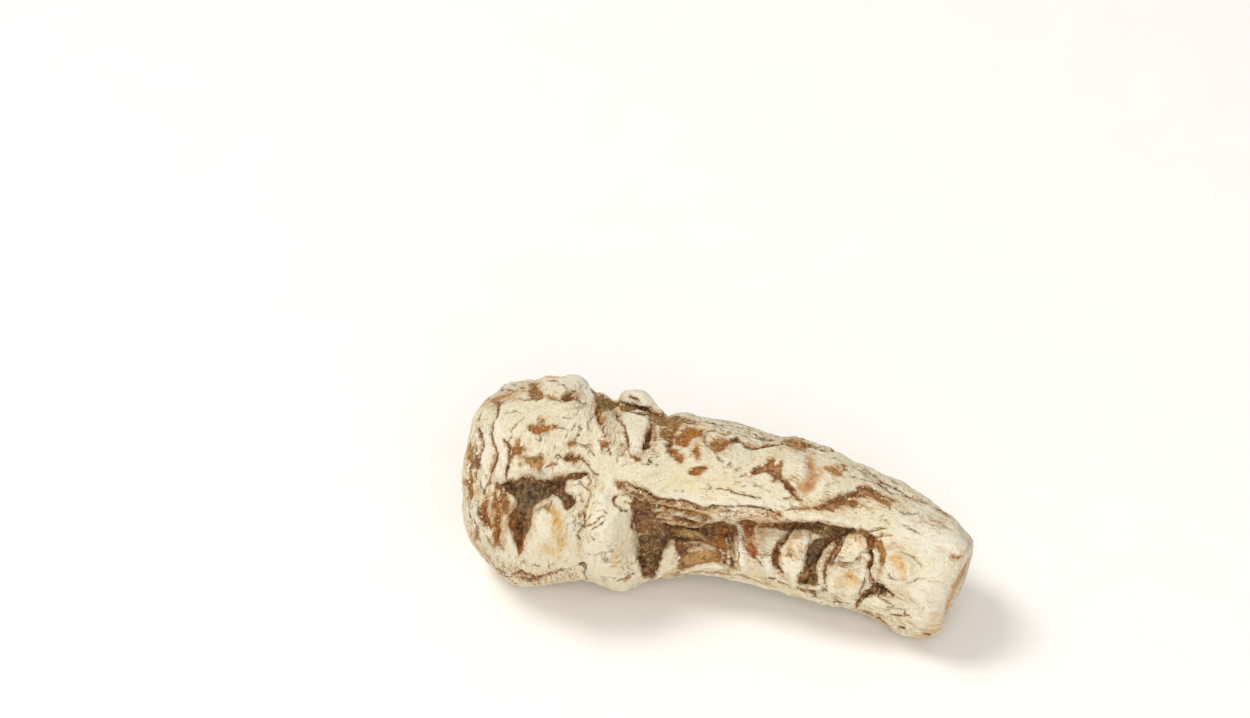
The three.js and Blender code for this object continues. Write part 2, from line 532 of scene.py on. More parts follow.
@dataclass(frozen=True)
class Form:
    """A raised form, or a sunken one where rise is below 0.

    wall is how far its edge falls over, dome is how much further its middle rises, and swell how
    far in from the edge the dome builds up.
    """

    outline: Line
    rise: float
    wall: float = 0.7
    dome: float = 0.0
    swell: float = 2.0

    def push(self, pen: Pen, shift: Array) -> None:
        """Raises the form.

        Args:
            pen: draws on its side.
            shift: how far each point is moved, which is added to.
        """
        at, weight, inside = pen.within(self.outline)
        lift = self.rise * ease(inside, -self.wall / 2, self.wall / 2)
        lift += self.dome * (1.0 - np.exp(-np.maximum(inside, 0.0) / self.swell))
        shift[at] += (lift * weight)[:, None] * pen.outward[at]


@dataclass(frozen=True)
class Lip:
    """A lip of skin that overhangs a hollow on the right of its run."""

    run: Line
    drop: float
    wall: float = 0.5
    reach: float = 3.0
    tuck: float = 0.35

    def push(self, pen: Pen, shift: Array) -> None:
        """Sinks the skin beside the lip and tucks it in under the lip.

        Args:
            pen: draws on its side.
            shift: how far each point is moved, which is added to.
        """
        run = curved(self.run)
        at, weight, side, share = pen.along(run)
        fade = ease(share, 0.0, 0.1) * (1.0 - ease(share, 0.9, 1.0)) * weight
        fall = ease(-side, -0.1, self.wall) * (1.0 - ease(-side, self.wall, self.reach)) * fade
        ends = run[-1] - run[0]
        inward = pen.drawing.bearing.lead(*np.array([-ends[1], ends[0]]) / np.linalg.norm(ends))
        sunk = (-self.drop * fall)[:, None] * pen.outward[at]
        shift[at] += sunk + (self.tuck * self.drop * fall)[:, None] * inward


@dataclass(frozen=True)
class Nudge:
    """A push on the skin round a place, which trims the root's outline as it is seen."""

    place: tuple[float, float]
    way: tuple[float, float]
    reach: float

    def push(self, pen: Pen, shift: Array) -> None:
        """Pushes the skin, by adding to how far each point is moved."""
        away = np.linalg.norm(pen.place - self.place, axis=1) / self.reach
        shift += np.exp(-away * away)[:, None] * pen.drawing.bearing.lead(*self.way)


@dataclass(frozen=True)
class Drawing:
    """All that is drawn on one side of the root. stray is how far its lines wander."""

    bearing: Bearing
    shapes: tuple[Form | Lip | Nudge, ...]
    marks: tuple[Stain | Wear | Patch | Crack | Fibre, ...]
    stray: float = 1.0


def arc(middle: tuple[float, float], radius: float, start: float = 0.0, stop: float = 340.0) -> Line:
    """Part of a circle that is a little out of true, as nothing that grew is round.

    Args:
        middle: the circle's middle.
        radius: its radius in millimetres.
        start: where it starts, in degrees from the right.
        stop: where it stops.

    Returns:
        Its points, about one in each 20 degrees.
    """
    turn = np.radians(np.linspace(start, stop, max(4, int(abs(stop - start) / 20))))
    reach = radius * (1.0 + 0.06 * np.sin(3.0 * turn + radius) + 0.04 * np.sin(5.0 * turn))
    return np.column_stack([middle[0] + reach * np.cos(turn), middle[1] + 0.95 * reach * np.sin(turn)])


def spoke(middle: tuple[float, float], inner: float, outer: float, angle: float) -> Line:
    """A line out from a middle.

    Args:
        middle: where it points away from.
        inner: how far from it the line starts.
        outer: how far from it the line ends.
        angle: its direction in degrees, which strays a little on the way.

    Returns:
        Its three points.
    """
    reach = np.linspace(inner, outer, 3)
    turn = np.radians(angle + np.array([0.0, 7.0, 3.0]) * math.sin(angle))
    return np.column_stack([middle[0] + reach * np.cos(turn), middle[1] + reach * np.sin(turn)])


# The crown from the front: its burls, the pockets round them and its cracks.
LEFT_BURL = (-21.7, 1.5, -23, 1.2, -24.4, 0.2, -25.1, -1.2, -25.3, -3.3, -26.1, -4.5, -26.3, -6.2, -24.6, -8,
    -21.7, -8.6, -19.4, -7.4, -19, -4.5, -18, -0.8, -18.4, 0.2, -19.6, 0, -20.9, 0.6)
RIGHT_BURL = (-17.3, 1.2, -14.5, 2.2, -13.6, 0.3, -12.2, -0.8, -11.3, -2.4, -11.3, -4.4, -11, -6.3, -10.4, -8,
    -10.2, -9.4, -12.6, -11.4, -15.4, -9.8, -17.8, -8.9, -18.4, -6.4, -18.6, -4, -17.9, -1.8)
POCKET = (-29.1, 3.3, -26.5, 3.9, -25.8, 4.2, -24.6, 3.8, -23, 3.6, -21.3, 3.7, -20.1, 4.3, -18, 4.5,
    -17.8, 4.1, -19.6, 3.8, -20.8, 3.3, -20.8, 2.3, -19.9, 1.5, -19.2, 0.6, -19.9, -0.1, -20.8, 0.3,
    -21.7, 1.5, -23, 1.3, -24.4, 0.3, -25.1, -1.1, -25.3, -3.2, -26.1, -4.5, -26.4, -6.2, -27.2, -5.2,
    -28.3, -2.3, -27.3, 1, -28.9, 2.5)
CROWN_SHAPES = (
    Form(LEFT_BURL, 0.9, dome=0.7, swell=2.4),
    Form(RIGHT_BURL, 0.5, 1.0, dome=0.8, swell=2.6),
    Form(POCKET, -1.3, 0.6, dome=-0.9, swell=1.0),
    Form((-31.2, 3.4, -28.6, 3.8, -27.8, 1.4, -28.9, -1.6, -29.7, -4.8, -31.6, -2.4, -32.4, -0.6), -0.4),
    Form((-31, 13.9, -30.6, 8, -31.2, 3.8, -32.2, 3.8, -32.4, 7, -32, 11.2), 0.35, 0.5),
    Form((-29.8, 14, -28.6, 9.6, -28.6, 4, -30.2, 4.4, -30.2, 8, -29.8, 12), 0.3, 0.5),
    Form((-26.4, 12.4, -27.2, 8.8, -26, 6.8, -20.8, 8.2, -17, 10.6, -16.9, 13.8, -20.2, 14), 0.3),
    Form((-23.2, 17.6, -22.8, 15.2, -19.4, 15.4, -16.8, 14.6, -17.2, 17.4, -20.4, 18.8), 0.5, 0.9),
    Form((-27.6, 5.2, -20.4, 5.6, -16.4, 2.6, -14.4, 0.8, -16.8, 1.4, -17.6, 4.4, -25.8, 4.5), 0.35),
    Nudge((-17.3, 16.7), (-0.7, -1.3), 2.2),
    Nudge((-28.5, 17), (0.1, -0.4), 1.6),
    Nudge((-34.4, 2), (0.3, 0), 2.5),
    Nudge((-20.8, 18.2), (0, -0.8), 2.2),
    Nudge((-30.8, 15.7), (0.35, -0.35), 2.5),
    Nudge((-34.4, 8.4), (0.4, 0), 2.5),
)
CROWN_MARKS = (
    Stain((-23.6, 0, -22.4, 0.2, -21.8, -0.6), 1.0, TAN, 0.7),
    Stain((-24.6, -0.6, -23.4, 0, -22.4, -0.4), 1.0, OLIVE, 0.55),
    Stain((-22.3, -0.8, -21.4, -3.8, -21.6, -5.2), 1.7, HONEY, 0.7),
    Stain((-22.2, -0.8, -21.9, -2.4), 0.9, strength=0.55),
    Stain((-22.2, -1, -22, -2), 0.5, RUST, 0.35),
    Stain((-23.4, -5.8, -22.2, -6.3), 1.3, HONEY),
    Stain((-23, -5.9, -22.4, -6.2), 0.7, strength=0.5),
    Stain((-13.6, -6, -13.9, -7.4), 1.4, HONEY, 0.5),
    Stain((-12.3, 0.6, -11.9, 0.3), 0.5, strength=0.6),
    Stain((-31, 0.9, -28.8, -0.6), 1.6, TAN, 0.7),
    Stain((-19.3, 15.2, -18.2, 15), 0.8, strength=0.35),
    Stain((-21.6, 16.9, -18.6, 17.2, -17.4, 15.6), 1.6, CHALK, 0.7),
    Stain((-30.2, 14, -27.6, 15.2, -24.6, 16.4), 1.4, TAN, 0.5),
    Wear((-30.5, 14, -33, 9, -34, 2, -33.6, -3, -31.6, -7), 2.6, 0.55),
    Wear((-31.6, -7, -27, -10, -20, -9.6), 2.2, 0.8),
    Wear((-30, 14.6, -26, 15.6, -22, 14.6), 1.4, 0.5),
    Wear((-32, 2, -29, 0, -29.8, -5), 2.0),
    Wear((-17, 3.6, -17.6, -1, -17, -4), 1.4, 0.8),
    Wear((-26.8, 9.6, -26.4, 6, -20, 5.8), 1.6, 0.5),
    Crack((-32.3, 10.8, -31.9, 9.5, -31.9, 8.1, -32.3, 6.4, -32.8, 3.3), 0.22, 0.5),
    Crack((-32.5, 8.4, -32.6, 6.8, -32.9, 5.2), 0.16, 0.35, OLIVE),
    Crack((-33.3, 8.8, -33.4, 7.6), 0.13, hue=OLIVE),
    Crack((-33.5, 2.4, -33.4, 0.8), 0.12, hue=OLIVE),
    Crack((-33, -1.6, -32.6, -3.2, -32, -4.6), 0.12, 0.25, BARK),
    Crack((-33.6, -0.6, -33.3, -2.4), 0.1, 0.2, OLIVE),
    Crack((-30, 11.8, -30.4, 10.5, -30.4, 8.7, -30, 7.4, -31, 2.5), 0.19, 0.45, RUST),
    Crack((-30.5, 14.4, -29.6, 13.9, -29.7, 12.9, -30, 11.8), 0.22, hue=OLIVE),
    Crack((-28.9, 9.3, -28.2, 8.3, -28.1, 7.2, -28.6, 3.7), 0.2, 0.45),
    Crack((-28, 8.3, -27.9, 9.9, -27.3, 11, -26.1, 12.2), depth=0.25, hue=TAN),
    Patch((-28.4, 8.4, -27.4, 8, -26.9, 8.9, -26.6, 8.1, -25.7, 7.9, -26.6, 7.2, -26.4, 6.6, -27.4, 6.9,
        -27.9, 6, -27.8, 7.4), SIENNA, 0.22),
    Crack((-30.6, 14.3, -27.1, 15.9), 0.22, 0.2, TAN),
    Crack((-26.7, 16.1, -26, 16), depth=0.15, hue=RUST),
    Patch((-25.3, 16.1, -24.7, 16.6, -24.3, 15.7, -23.5, 14.8, -24.6, 14.5, -25.3, 14.9), OLIVE, 0.25),
    Crack((-27.1, 14.8, -25.8, 14.4, -24.6, 14.8, -23.4, 14.9, -21.7, 14.4, -20.5, 14.4, -19.4, 14.8),
        0.19, hue=TAN),
    Patch((-21.2, 14.5, -20.3, 14.9, -19.6, 14.7, -20.3, 14.1), SOIL, 0.25),
    Crack((-23, 17.1, -21.9, 17.2, -21.5, 16.9), depth=0.2, hue=RUST),
    Patch((-25.5, 10.5, -24.6, 11, -24.1, 10.9, -24.1, 11.7, -23.5, 11.9, -23.2, 11.1, -21.6, 10.9, -23, 10.2,
        -24.6, 10), RUST, 0.25),
    Patch((-26, 6.4, -25.2, 6.8, -24.6, 6.5, -23.5, 7.1, -23.8, 5.6, -24.6, 5.2, -25.6, 5.8), TAN, 0.2),
    Crack((-22.4, 6.5, -21.7, 7, -21.2, 6.7, -21.7, 6.3), depth=0.2, hue=RUST),
    Crack((-23.4, 5.2, -22.7, 5.8, -21.5, 5.8), 0.17, 0.25, RUST),
    Patch((-20.8, 6.6, -19.6, 7.2, -18.5, 6.7, -18.4, 6.1, -19.6, 6), SOIL, 0.45),
    Crack((-21.8, 6.9, -20.6, 6.6, -19.6, 6.2, -18.6, 6.4, -17.6, 5.6, -16.8, 4.6, -15.3, 4.2)),
    Crack((-20.1, 8.5, -19, 8.5, -17.2, 7.7, -16.5, 6.8), 0.09, 0.2),
    Crack((-18, 8.2, -17.2, 8.5), 0.11, 0.15, RUST),
    Patch((-20.2, 8.7, -19.6, 8.9, -19.3, 8.4, -20, 8.1), TAN, 0.15),
    Patch(POCKET, ASH, 0.2),
    Patch((-28, -2.1, -27.4, -0.8, -26.5, -1, -25.6, -2.4, -25.6, -3.5, -26.2, -4, -27.2, -3.4), depth=0.1),
    Patch((-28, -2.4, -27.4, -2, -27.2, -3.2, -26.4, -4.2, -26.4, -5.6, -26.7, -6.2, -27.5, -4.6), RUST, 0.1),
    Patch((-28.8, 3.4, -27.6, 3.4, -26.9, 2.4, -27.6, 1.4, -28.6, 2.2), SOIL, 0.1),
    Patch((-23.4, 3.6, -20.6, 3.9, -20.6, 2.2, -22.2, 1.9, -23.6, 2.4), SOIL, 0.1),
    Patch((-30, 3.4, -28.9, 2.6, -28, 1.4, -28.1, 0, -29.2, -1.2, -29.6, -2.6, -30.6, -2.6, -30.2, -0.4,
        -30.8, 1.2, -29.8, 2.4), depth=0.25),
    Patch((-31.6, 0.4, -30.9, 0.2, -30.4, -2.6, -31.2, -2.8, -32, -1.4), RUST, 0.25),
    Patch((-30, -2.1, -29.3, -2.5, -29.4, -3.6, -29.8, -5, -30.2, -3.9), SOIL),
    Crack((-31, 3.4, -31.5, 2, -31.2, 0.6, -31.6, -0.6)),
    Fibre((-31, 2.8, -30.5, 1, -30.7, -1, -30.2, -3.2), 0.2, 0.2, STRAW),
    Fibre((-29.6, 2.2, -29.4, 0.6, -29.1, -0.6), 0.1, 0.15, HONEY),
    Crack((-32.4, 0.8, -32.1, -1, -31.2, -2.5, -30.4, -3.4), 0.16),
    Crack((-29.4, -1.2, -29.7, -2.9, -29.6, -4.8, -29.2, -5.8)),
    Crack((-18.2, -0.4, -18, -1.9, -18.6, -2.9, -19, -3.9, -18.5, -4.4), 0.12, 0.4, RUST),
    Crack((-15.1, -1.2, -16.1, -1.4, -16.5, -2.1, -18.4, -2.7), 0.16, 0.25, AMBER),
    Crack((-15.3, -1.4, -15.7, -2.3, -17, -3.1), 0.12, 0.2, OLIVE),
    Crack((-20.7, 3.9, -19.6, 4.5, -17.8, 4.4), 0.17),
    Crack((-18, 4.3, -17.3, 3.5, -17.5, 2.9), depth=0.2, hue=RUST),
    Crack((-18.6, 3.5, -18.2, 2.5, -17.2, 2.1, -17.3, 1.2, -17.8, 0), 0.1, 0.2, OLIVE),
    Crack((-12.6, 1.8, -13.6, 1.6, -13.9, 0.6, -13.2, -0.3, -12.2, -0.6), 0.19, 0.35),
    Crack((-27.7, -9, -26.3, -8.9, -25, -9.4, -24, -9.5, -20.9, -8.5, -19.9, -8.4), 0.24, 0.55),
    Crack((-27.3, -9.5, -24.8, -9.8, -23.4, -9.4), 0.22, hue=BARK),
    Crack((-19.4, -8, -18.4, -7.7, -17.9, -8.1, -18, -8.9, -17.6, -9.8), 0.19, 0.4, BARK),
    Crack((-13.6, -10, -12.4, -9.7, -11.2, -8.9), 0.22, 0.35, RUST),
    Crack((-15.9, -9.4, -14.5, -9.4, -13.4, -9.7), 0.09, 0.15, BARK),
    Crack((-17.2, -3.9, -16.4, -4.6, -15.6, -4.7), 0.08, 0.15, TAN),
    Crack((-17.6, -6.1, -16.6, -6.6, -16, -6.4), 0.07, 0.12, ASH),
    Crack((-16.8, -7, -15.4, -6.9, -14.6, -7.3), 0.06, 0.12, TAN),
    Crack((-15, -5.8, -14.3, -6.4), 0.06, 0.12, OLIVE),
    Crack((-17.1, 0.4, -16.2, 0.6, -15.6, 0.2), 0.07, 0.15, TAN),
    Crack((-16.8, -0.6, -15.7, -0.4, -15, -0.9), 0.08, 0.15, OLIVE),
    Crack((-19.7, 2.9, -18.8, 3.1, -18.1, 2.8), 0.08, 0.15, TAN),
    Crack((-18.9, 1.9, -18.3, 0.9, -18.5, 0.1), 0.07, 0.15, OLIVE),
    Crack((-33.4, -4.6, -31, -7.8, -28.6, -9.4, -27.2, -9.8), 0.09, 0.2, BARK),
    Crack((-32.6, -1.8, -31.4, -3.8, -30, -5.6), 0.08, 0.2, TAN),
    Crack((-22.6, 10.4, -20.9, 10.6, -19.9, 10.2), 0.06, 0.12, ASH),
    Crack((-21.9, 12.2, -20.2, 12, -19, 12.4), 0.06, 0.12, TAN),
    Crack((-28.9, 12.6, -27.4, 12.9, -26, 12.6), 0.07, 0.12, TAN),
    Crack((-30.8, -7.2, -30, -8.1, -28.7, -8.9), 0.1, 0.25, BARK),
    Patch((-33.6, 7.4, -33, 8.1, -32.9, 6.6, -33.3, 5.4, -33.7, 6.2), OLIVE, 0.25),
    Patch((-33.8, 4.1, -33.2, 4.6, -33, 2.1, -33.4, 1.2, -33.9, 2.7), OLIVE, 0.25),
    Patch((-19.2, -1.2, -18.9, -0.6, -18.4, -0.8, -18.6, -1.4), TAN, 0.1),
)

# The neck and the upper flank from the front.
BEAD = (-13, 11.7, -12.1, 12.6, -10.4, 12.8, -9.6, 12, -9.4, 10.9, -10.4, 7.3, -11.1, 6.9, -12.1, 7.3,
    -12.5, 8.8, -12.4, 9.9)
FORKED_SCAR = (4.6, 4.5, 5.1, 5.2, 6.3, 5.5, 7.2, 6.4, 7.6, 6.1, 7.8, 5.4, 8.6, 6.1, 8.8, 5.8, 8.6, 4.6,
    9.1, 3.5, 11.3, 0.8, 10.3, 1.2, 9.4, 2.4, 8.3, 3.5, 7.6, 3.2, 7.1, 4.1, 6.3, 4.7)
NECK_SHAPES = (
    Form(BEAD, 0.7, dome=0.6, swell=1.2),
    Form((-9.2, 11.9, -8.6, 10.9, -8.8, 9.2, -9.4, 7.9, -10.2, 7.9, -9.6, 10), -0.8, 0.6),
    Form((-16.4, 11.2, -15, 11.6, -14.8, 9.4, -14.2, 7.4, -15.4, 6.8, -17, 8.4), 0.35, 0.8, dome=0.2),
    Form((-13.9, 12.8, -13, 12.6, -12.5, 7.6, -11.4, 6.4, -12.2, 6, -13.4, 8), -0.35, 0.6),
    Form((-7.9, 10.1, -7, 10.6, -5.2, 10.8, -5.7, 9.4, -5.8, 7.2, -6.4, 6.9, -7, 8.3), -0.45, 0.8),
    Form((-5.9, 8, -5, 10.4, -1.8, 10.2, -1.6, 6, -4.4, 5.8), 0.45, 1.4, dome=0.4),
    Form((-15.4, 14.2, -13.8, 14.2, -13, 11.6, -12.6, 8.6, -13.6, 6.6, -15.6, 9, -15.8, 12), 0.35, 1.0),
    Form((8.9, 6.5, 10.4, 7.1, 11.8, 6.5, 12.2, 4.8, 11.3, 3.5, 10.2, 2.8, 9.4, 3.4, 8.6, 4.6),
        0.7, 1.2, dome=0.5),
    Form((11.9, 6.9, 13.3, 7.5, 14.2, 5.4, 13.9, 3.2, 12.2, 1.8, 10.8, 2.2, 11.4, 3.4, 12.3, 4.8),
        -0.25, 0.8),
    Form(FORKED_SCAR, -0.3, 0.5),
    Form((1.4, 9.8, 5.2, 10.2, 9.4, 8.8, 6, 8.3, 3.8, 8.4), 0.3),
    Form((0.8, 7.4, 2.4, 8.3, 3.8, 7.8, 4.4, 6.4, 2.4, 5.6, 0.4, 6.2), 0.3, 1.2, dome=0.2),
    Nudge((-13.5, 14.7), (0.1, -1.1), 0.8),
    Nudge((-12.3, 15.3), (-0.4, 0.3), 0.8),
    Nudge((-10.6, 15.6), (0, 0.2), 1.0),
    Nudge((-8.6, 14.2), (-0.4, -0.45), 1.2),
    Nudge((-6.6, 12.8), (0, -0.8), 1.3),
)
NECK_MARKS = (
    Stain((-2.9, 8, -2.8, 6.6), 1.0, TAN, 0.6),
    Stain((-8.2, 10.4, -7, 8.6), 1.4, TAN, 0.35),
    Stain((-1.4, 9.4, 0.8, 7.2), 1.2, TAN, 0.4),
    Stain((12.2, 6.2, 13, 4.8, 12.4, 3, 11.4, 2), 1.7, TAN, 0.7),
    Stain((12.4, 4.8, 12.4, 3.2, 11.6, 2.2), 1.0, RUST, 0.6),
    Stain((12, 5.6, 12.2, 3.8), 0.6, RUST, 0.5),
    Stain((9.8, 8.4, 12.2, 8.1), 0.8, TAN, 0.6),
    Stain((-6, 3.6, 2, 3), 2.0, STRAW, 0.5),
    Wear((-16.4, 13.4, -14.6, 8.4, -9.4, 7.6, -8.6, 11.8, -5, 11.4), 1.8, 0.9),
    Wear((-8.4, 9.4, -4, 8.4, 1.6, 8.2, 5, 9, 12, 8), 1.6, 0.65),
    Stain((-5.6, 12.4, -2, 12.6, 2.4, 10.8, 6, 9.6), 1.2, CREAM),
    Wear((3, 3.2, 8, 4.4, 12.6, 4.4), 1.8, 0.6),
    Crack((-16, 15.5, -15.5, 14.7, -15.3, 14.1, -16.3, 13, -15.9, 11.6, -15.5, 11.2, -15.3, 9.7, -14.7, 9.2),
        0.16, 0.35, RUST),
    Crack((-16.3, 13, -17.4, 11.6, -17.5, 10.8, -17.1, 10.3), 0.13, 0.25, TAN),
    Patch((-16.5, 13.6, -15.8, 14, -15.4, 13, -15.7, 12.6, -15.4, 11.6, -15.9, 11.3, -16.4, 12.2), RUST, 0.2),
    Crack((-16.1, 8.7, -15.3, 8.7, -14.9, 8.2, -14.6, 6.9), 0.18, 0.2),
    Patch((-15.7, 8.7, -14.9, 8.8, -14.9, 8.1, -15.5, 8), RUST, 0.15),
    Patch((-16.8, 15.6, -15.5, 15, -14.3, 14.6, -13.1, 14.5, -13.7, 13.4, -15.1, 12.8, -15.9, 13.6), OLIVE),
    Crack((-13.8, 12.6, -13, 11.4, -12.4, 10.1, -12.1, 7.4, -11.3, 6.5), 0.18, 0.4),
    Crack((-12.4, 8.1, -12.9, 6.8), 0.13, 0.2, RUST),
    Patch((-11.6, 6.8, -11, 6.3, -10.6, 6.4, -11.1, 7), RUST, 0.2),
    Crack((-12.3, 14.8, -11.7, 15, -10.9, 14.5, -10.3, 13.9), 0.15, 0.35),
    Patch((-13.4, 13.8, -11.3, 13.6, -7.8, 12.6, -6.6, 11.9, -5, 11.3, -5.6, 10.8, -7.5, 11.2, -8.9, 11.8,
        -9.6, 12.5, -11.3, 13, -13.2, 13.1), OLIVE),
    Crack((-13.1, 14.1, -11.2, 13.7, -7, 12.4), 0.26, 0.6, SOIL),
    Crack((-12.5, 13, -9.6, 12.3, -7.5, 10.9), 0.18, hue=SOIL),
    Crack((-7, 12.2, -3, 11.7), 0.16, 0.25, BARK),
    Crack((-5.9, 11.6, -4.7, 11.5, -3.8, 11.3, -2.6, 11.4), 0.22),
    Crack((-5.1, 12.6, -3.8, 12.7, -1.9, 12.6, 1.9, 11.6), 0.12, 0.25, BARK),
    Crack((-4, 11.7, -1.6, 11.5, 1.4, 10.6, 4.6, 9.9), 0.1, 0.25),
    Crack((-1, 10.9, 1.8, 10, 4.4, 9.2), 0.08, 0.2, BARK),
    Crack((2, 11, 5.2, 10.2, 8.6, 9.4), 0.08, 0.2, TAN),
    Crack((-3.8, 12.3, -1.5, 12.1, 1.9, 11.2), depth=0.2, hue=TAN),
    Patch((-9.3, 10.3, -8.9, 10, -9, 8.8, -9.5, 8, -10.1, 7.9, -9.9, 9), OLIVE),
    Crack((-9.3, 11.8, -9, 10.9, -9.2, 9.8, -10.1, 7.8), 0.2, 0.35, OLIVE),
    Crack((-8.5, 11.4, -8.6, 10.2, -8.3, 9.2, -8.6, 8.2), 0.12, 0.2, TAN),
    Crack((-7.9, 11, -7.8, 9.8, -7.4, 8.8), 0.1, 0.15, MAUVE),
    Patch((-7.9, 10.1, -7, 10.5, -6.2, 10.5, -5.5, 10.8, -5.1, 10.3, -5.7, 9.8, -6.2, 8.1, -6.8, 8.6,
        -7.5, 9.6), depth=0.25),
    Patch((-7, 8.2, -6.2, 8, -5.8, 7.1, -6.2, 6.9, -6.8, 7.3), ASH, 0.25),
    Patch((-6, 7.7, -5.1, 7, -4.7, 6.3, -5.1, 6.1, -5.8, 6.7), RUST, 0.2),
    Patch((-5.9, 9, -5.7, 9.6, -4.9, 10.1, -3.4, 10.7, -2.6, 10.6, -2, 9.8, -3.8, 9, -4.1, 8.2, -4.9, 8.2,
        -5.7, 8.5), RUST, 0.2),
    Patch((-3.9, 4.7, -3.2, 5.2, -1.6, 5.6, -1.8, 5, -2.8, 4.4), RUST, 0.2),
    Patch((-3.1, 7.9, -2.7, 8, -2.5, 6.9, -2.9, 6.6), RUST, 0.05),
    Crack((-9.4, 6.4, -8.9, 6), 0.2, 0.15),
    Crack((-8.4, 5.6, -8.1, 5.6), 0.2, 0.1, AMBER),
    Crack((-5, 2, -4.6, 2.1), 0.16, 0.1, RUST),
    Crack((1.4, 5.9, 1.8, 5.8), 0.18, 0.1, RUST),
    Patch((-0.9, 8.8, 0, 9.3, 2.9, 8.8, 1.9, 8.5, 1.2, 8.1, 0.6, 7.5, -0.2, 7.4, -0.8, 8.1), depth=0.2),
    Crack((-0.9, 8, -1.7, 8.6, -1.8, 9.2, -1.3, 10.1, -0.3, 10.1, 1.2, 9.8, 2.1, 9.9), 0.16, 0.2, TAN),
    Crack((-0.2, 7.3, 0, 6.5, 1, 6), depth=0.15, hue=TAN),
    Crack((1.5, 9, 2.9, 8.9, 4.4, 8, 6.8, 8.3, 8.6, 8.4), 0.22, 0.35, SOIL),
    Crack((4.2, 9.6, 5.3, 9.2, 6.5, 8.6), 0.15, 0.2, BARK),
    Patch((8.6, 8.6, 10.1, 8.8, 12.6, 8.3, 11.4, 7.8, 10.1, 8), TAN, 0.15),
    Crack((8.2, 8.9, 10.1, 8.9, 12, 8.6, 13.8, 8.1), 0.18, 0.25, BARK),
    Patch(FORKED_SCAR, MAUVE, 0.2),
    Crack((8.4, 3.8, 10.4, 1.4, 11.2, 0.8), 0.22, 0.2, RUST),
    Crack((8.7, 1.3, 9.9, 1.2, 10.6, 1.5), depth=0.1, hue=TAN),
    Crack((-0.7, 2.5, 0.8, 2.4, 2.9, 1.7, 6.1, 1.2), depth=0.2),
    Crack((4.8, 2.8, 5.9, 2.7, 7.2, 2), 0.1, 0.15, SOIL),
    Crack((2.9, 4.2, 4, 4.3), 0.1, 0.1, TAN),
)

# The long trough: its overhanging lips, ribs, flakes and the bark between them.
SHARD = (-6.2, -4.3, -5.6, -5, -5, -6.5, -5.2, -7.8, -8.6, -9.5, -8.6, -8.2, -7, -5.2)
SPECKLED_RIB = (4.8, -2.1, 7.6, -2.7, 9.2, -2.9, 8.2, -4.4, 7.5, -6, 7.6, -7.9, 6.9, -8.9, 5.6, -7.8, 5, -6.2,
    4.9, -4.3)
BROAD_RIB = (9.8, -3.7, 10.8, -3.1, 12.4, -3.3, 12.2, -4.8, 11.7, -6.7, 11.5, -8.4, 10.9, -9.8, 9.2, -9.5,
    8.4, -8.4, 8.4, -6.2, 9, -4.8)
UPPER_FLAKE = (15.5, -7.3, 17.4, -3.9, 18.6, -3.3, 19.8, -4, 20.4, -4.9, 20.1, -5.6, 18.8, -6.9, 17.6, -7.5,
    16.3, -7.4)
LOWER_FLAKE = (20.1, -6, 20.5, -7.4, 20.4, -8.6, 19.9, -10, 18.5, -12.9, 17, -13.1, 14.9, -12.4, 14.7, -10.8,
    15, -8.8, 15.4, -7.9, 17.4, -7.8, 19, -7.1)
UNDER_STRIP = (2.6, -1.8, 6.3, -2.3, 9.1, -2, 14, -2, 16, -2.6, 19.6, -3.2, 21.2, -3.9, 22.4, -3.7,
    20.8, -4.4, 18.6, -3.5, 17.1, -3.9, 16.5, -4.8, 15.2, -4.7, 14, -4.1, 13.2, -3.4, 12.1, -3, 10.7, -2.9,
    9.4, -3.2, 3, -2.2)
GREY_GAP = (12.4, -4.9, 14, -4.2, 15.2, -4.5, 14.9, -5.5, 14, -6.6, 13.5, -8.3, 13.4, -10, 12.4, -10.4,
    11, -10, 11.6, -8.5, 11.8, -6.9)
HOLLOW = (-11.4, 0.8, -9.1, 0.7, -8.1, -2, -5.5, -2.5, -2, -2.7, 0.4, -2.3, 2.2, -2.6, 2.4, -8.2, -0.2, -7.6,
    -5, -8.1, -8.9, -9.4, -10, -9, -10.9, -6.8, -11.4, -3)
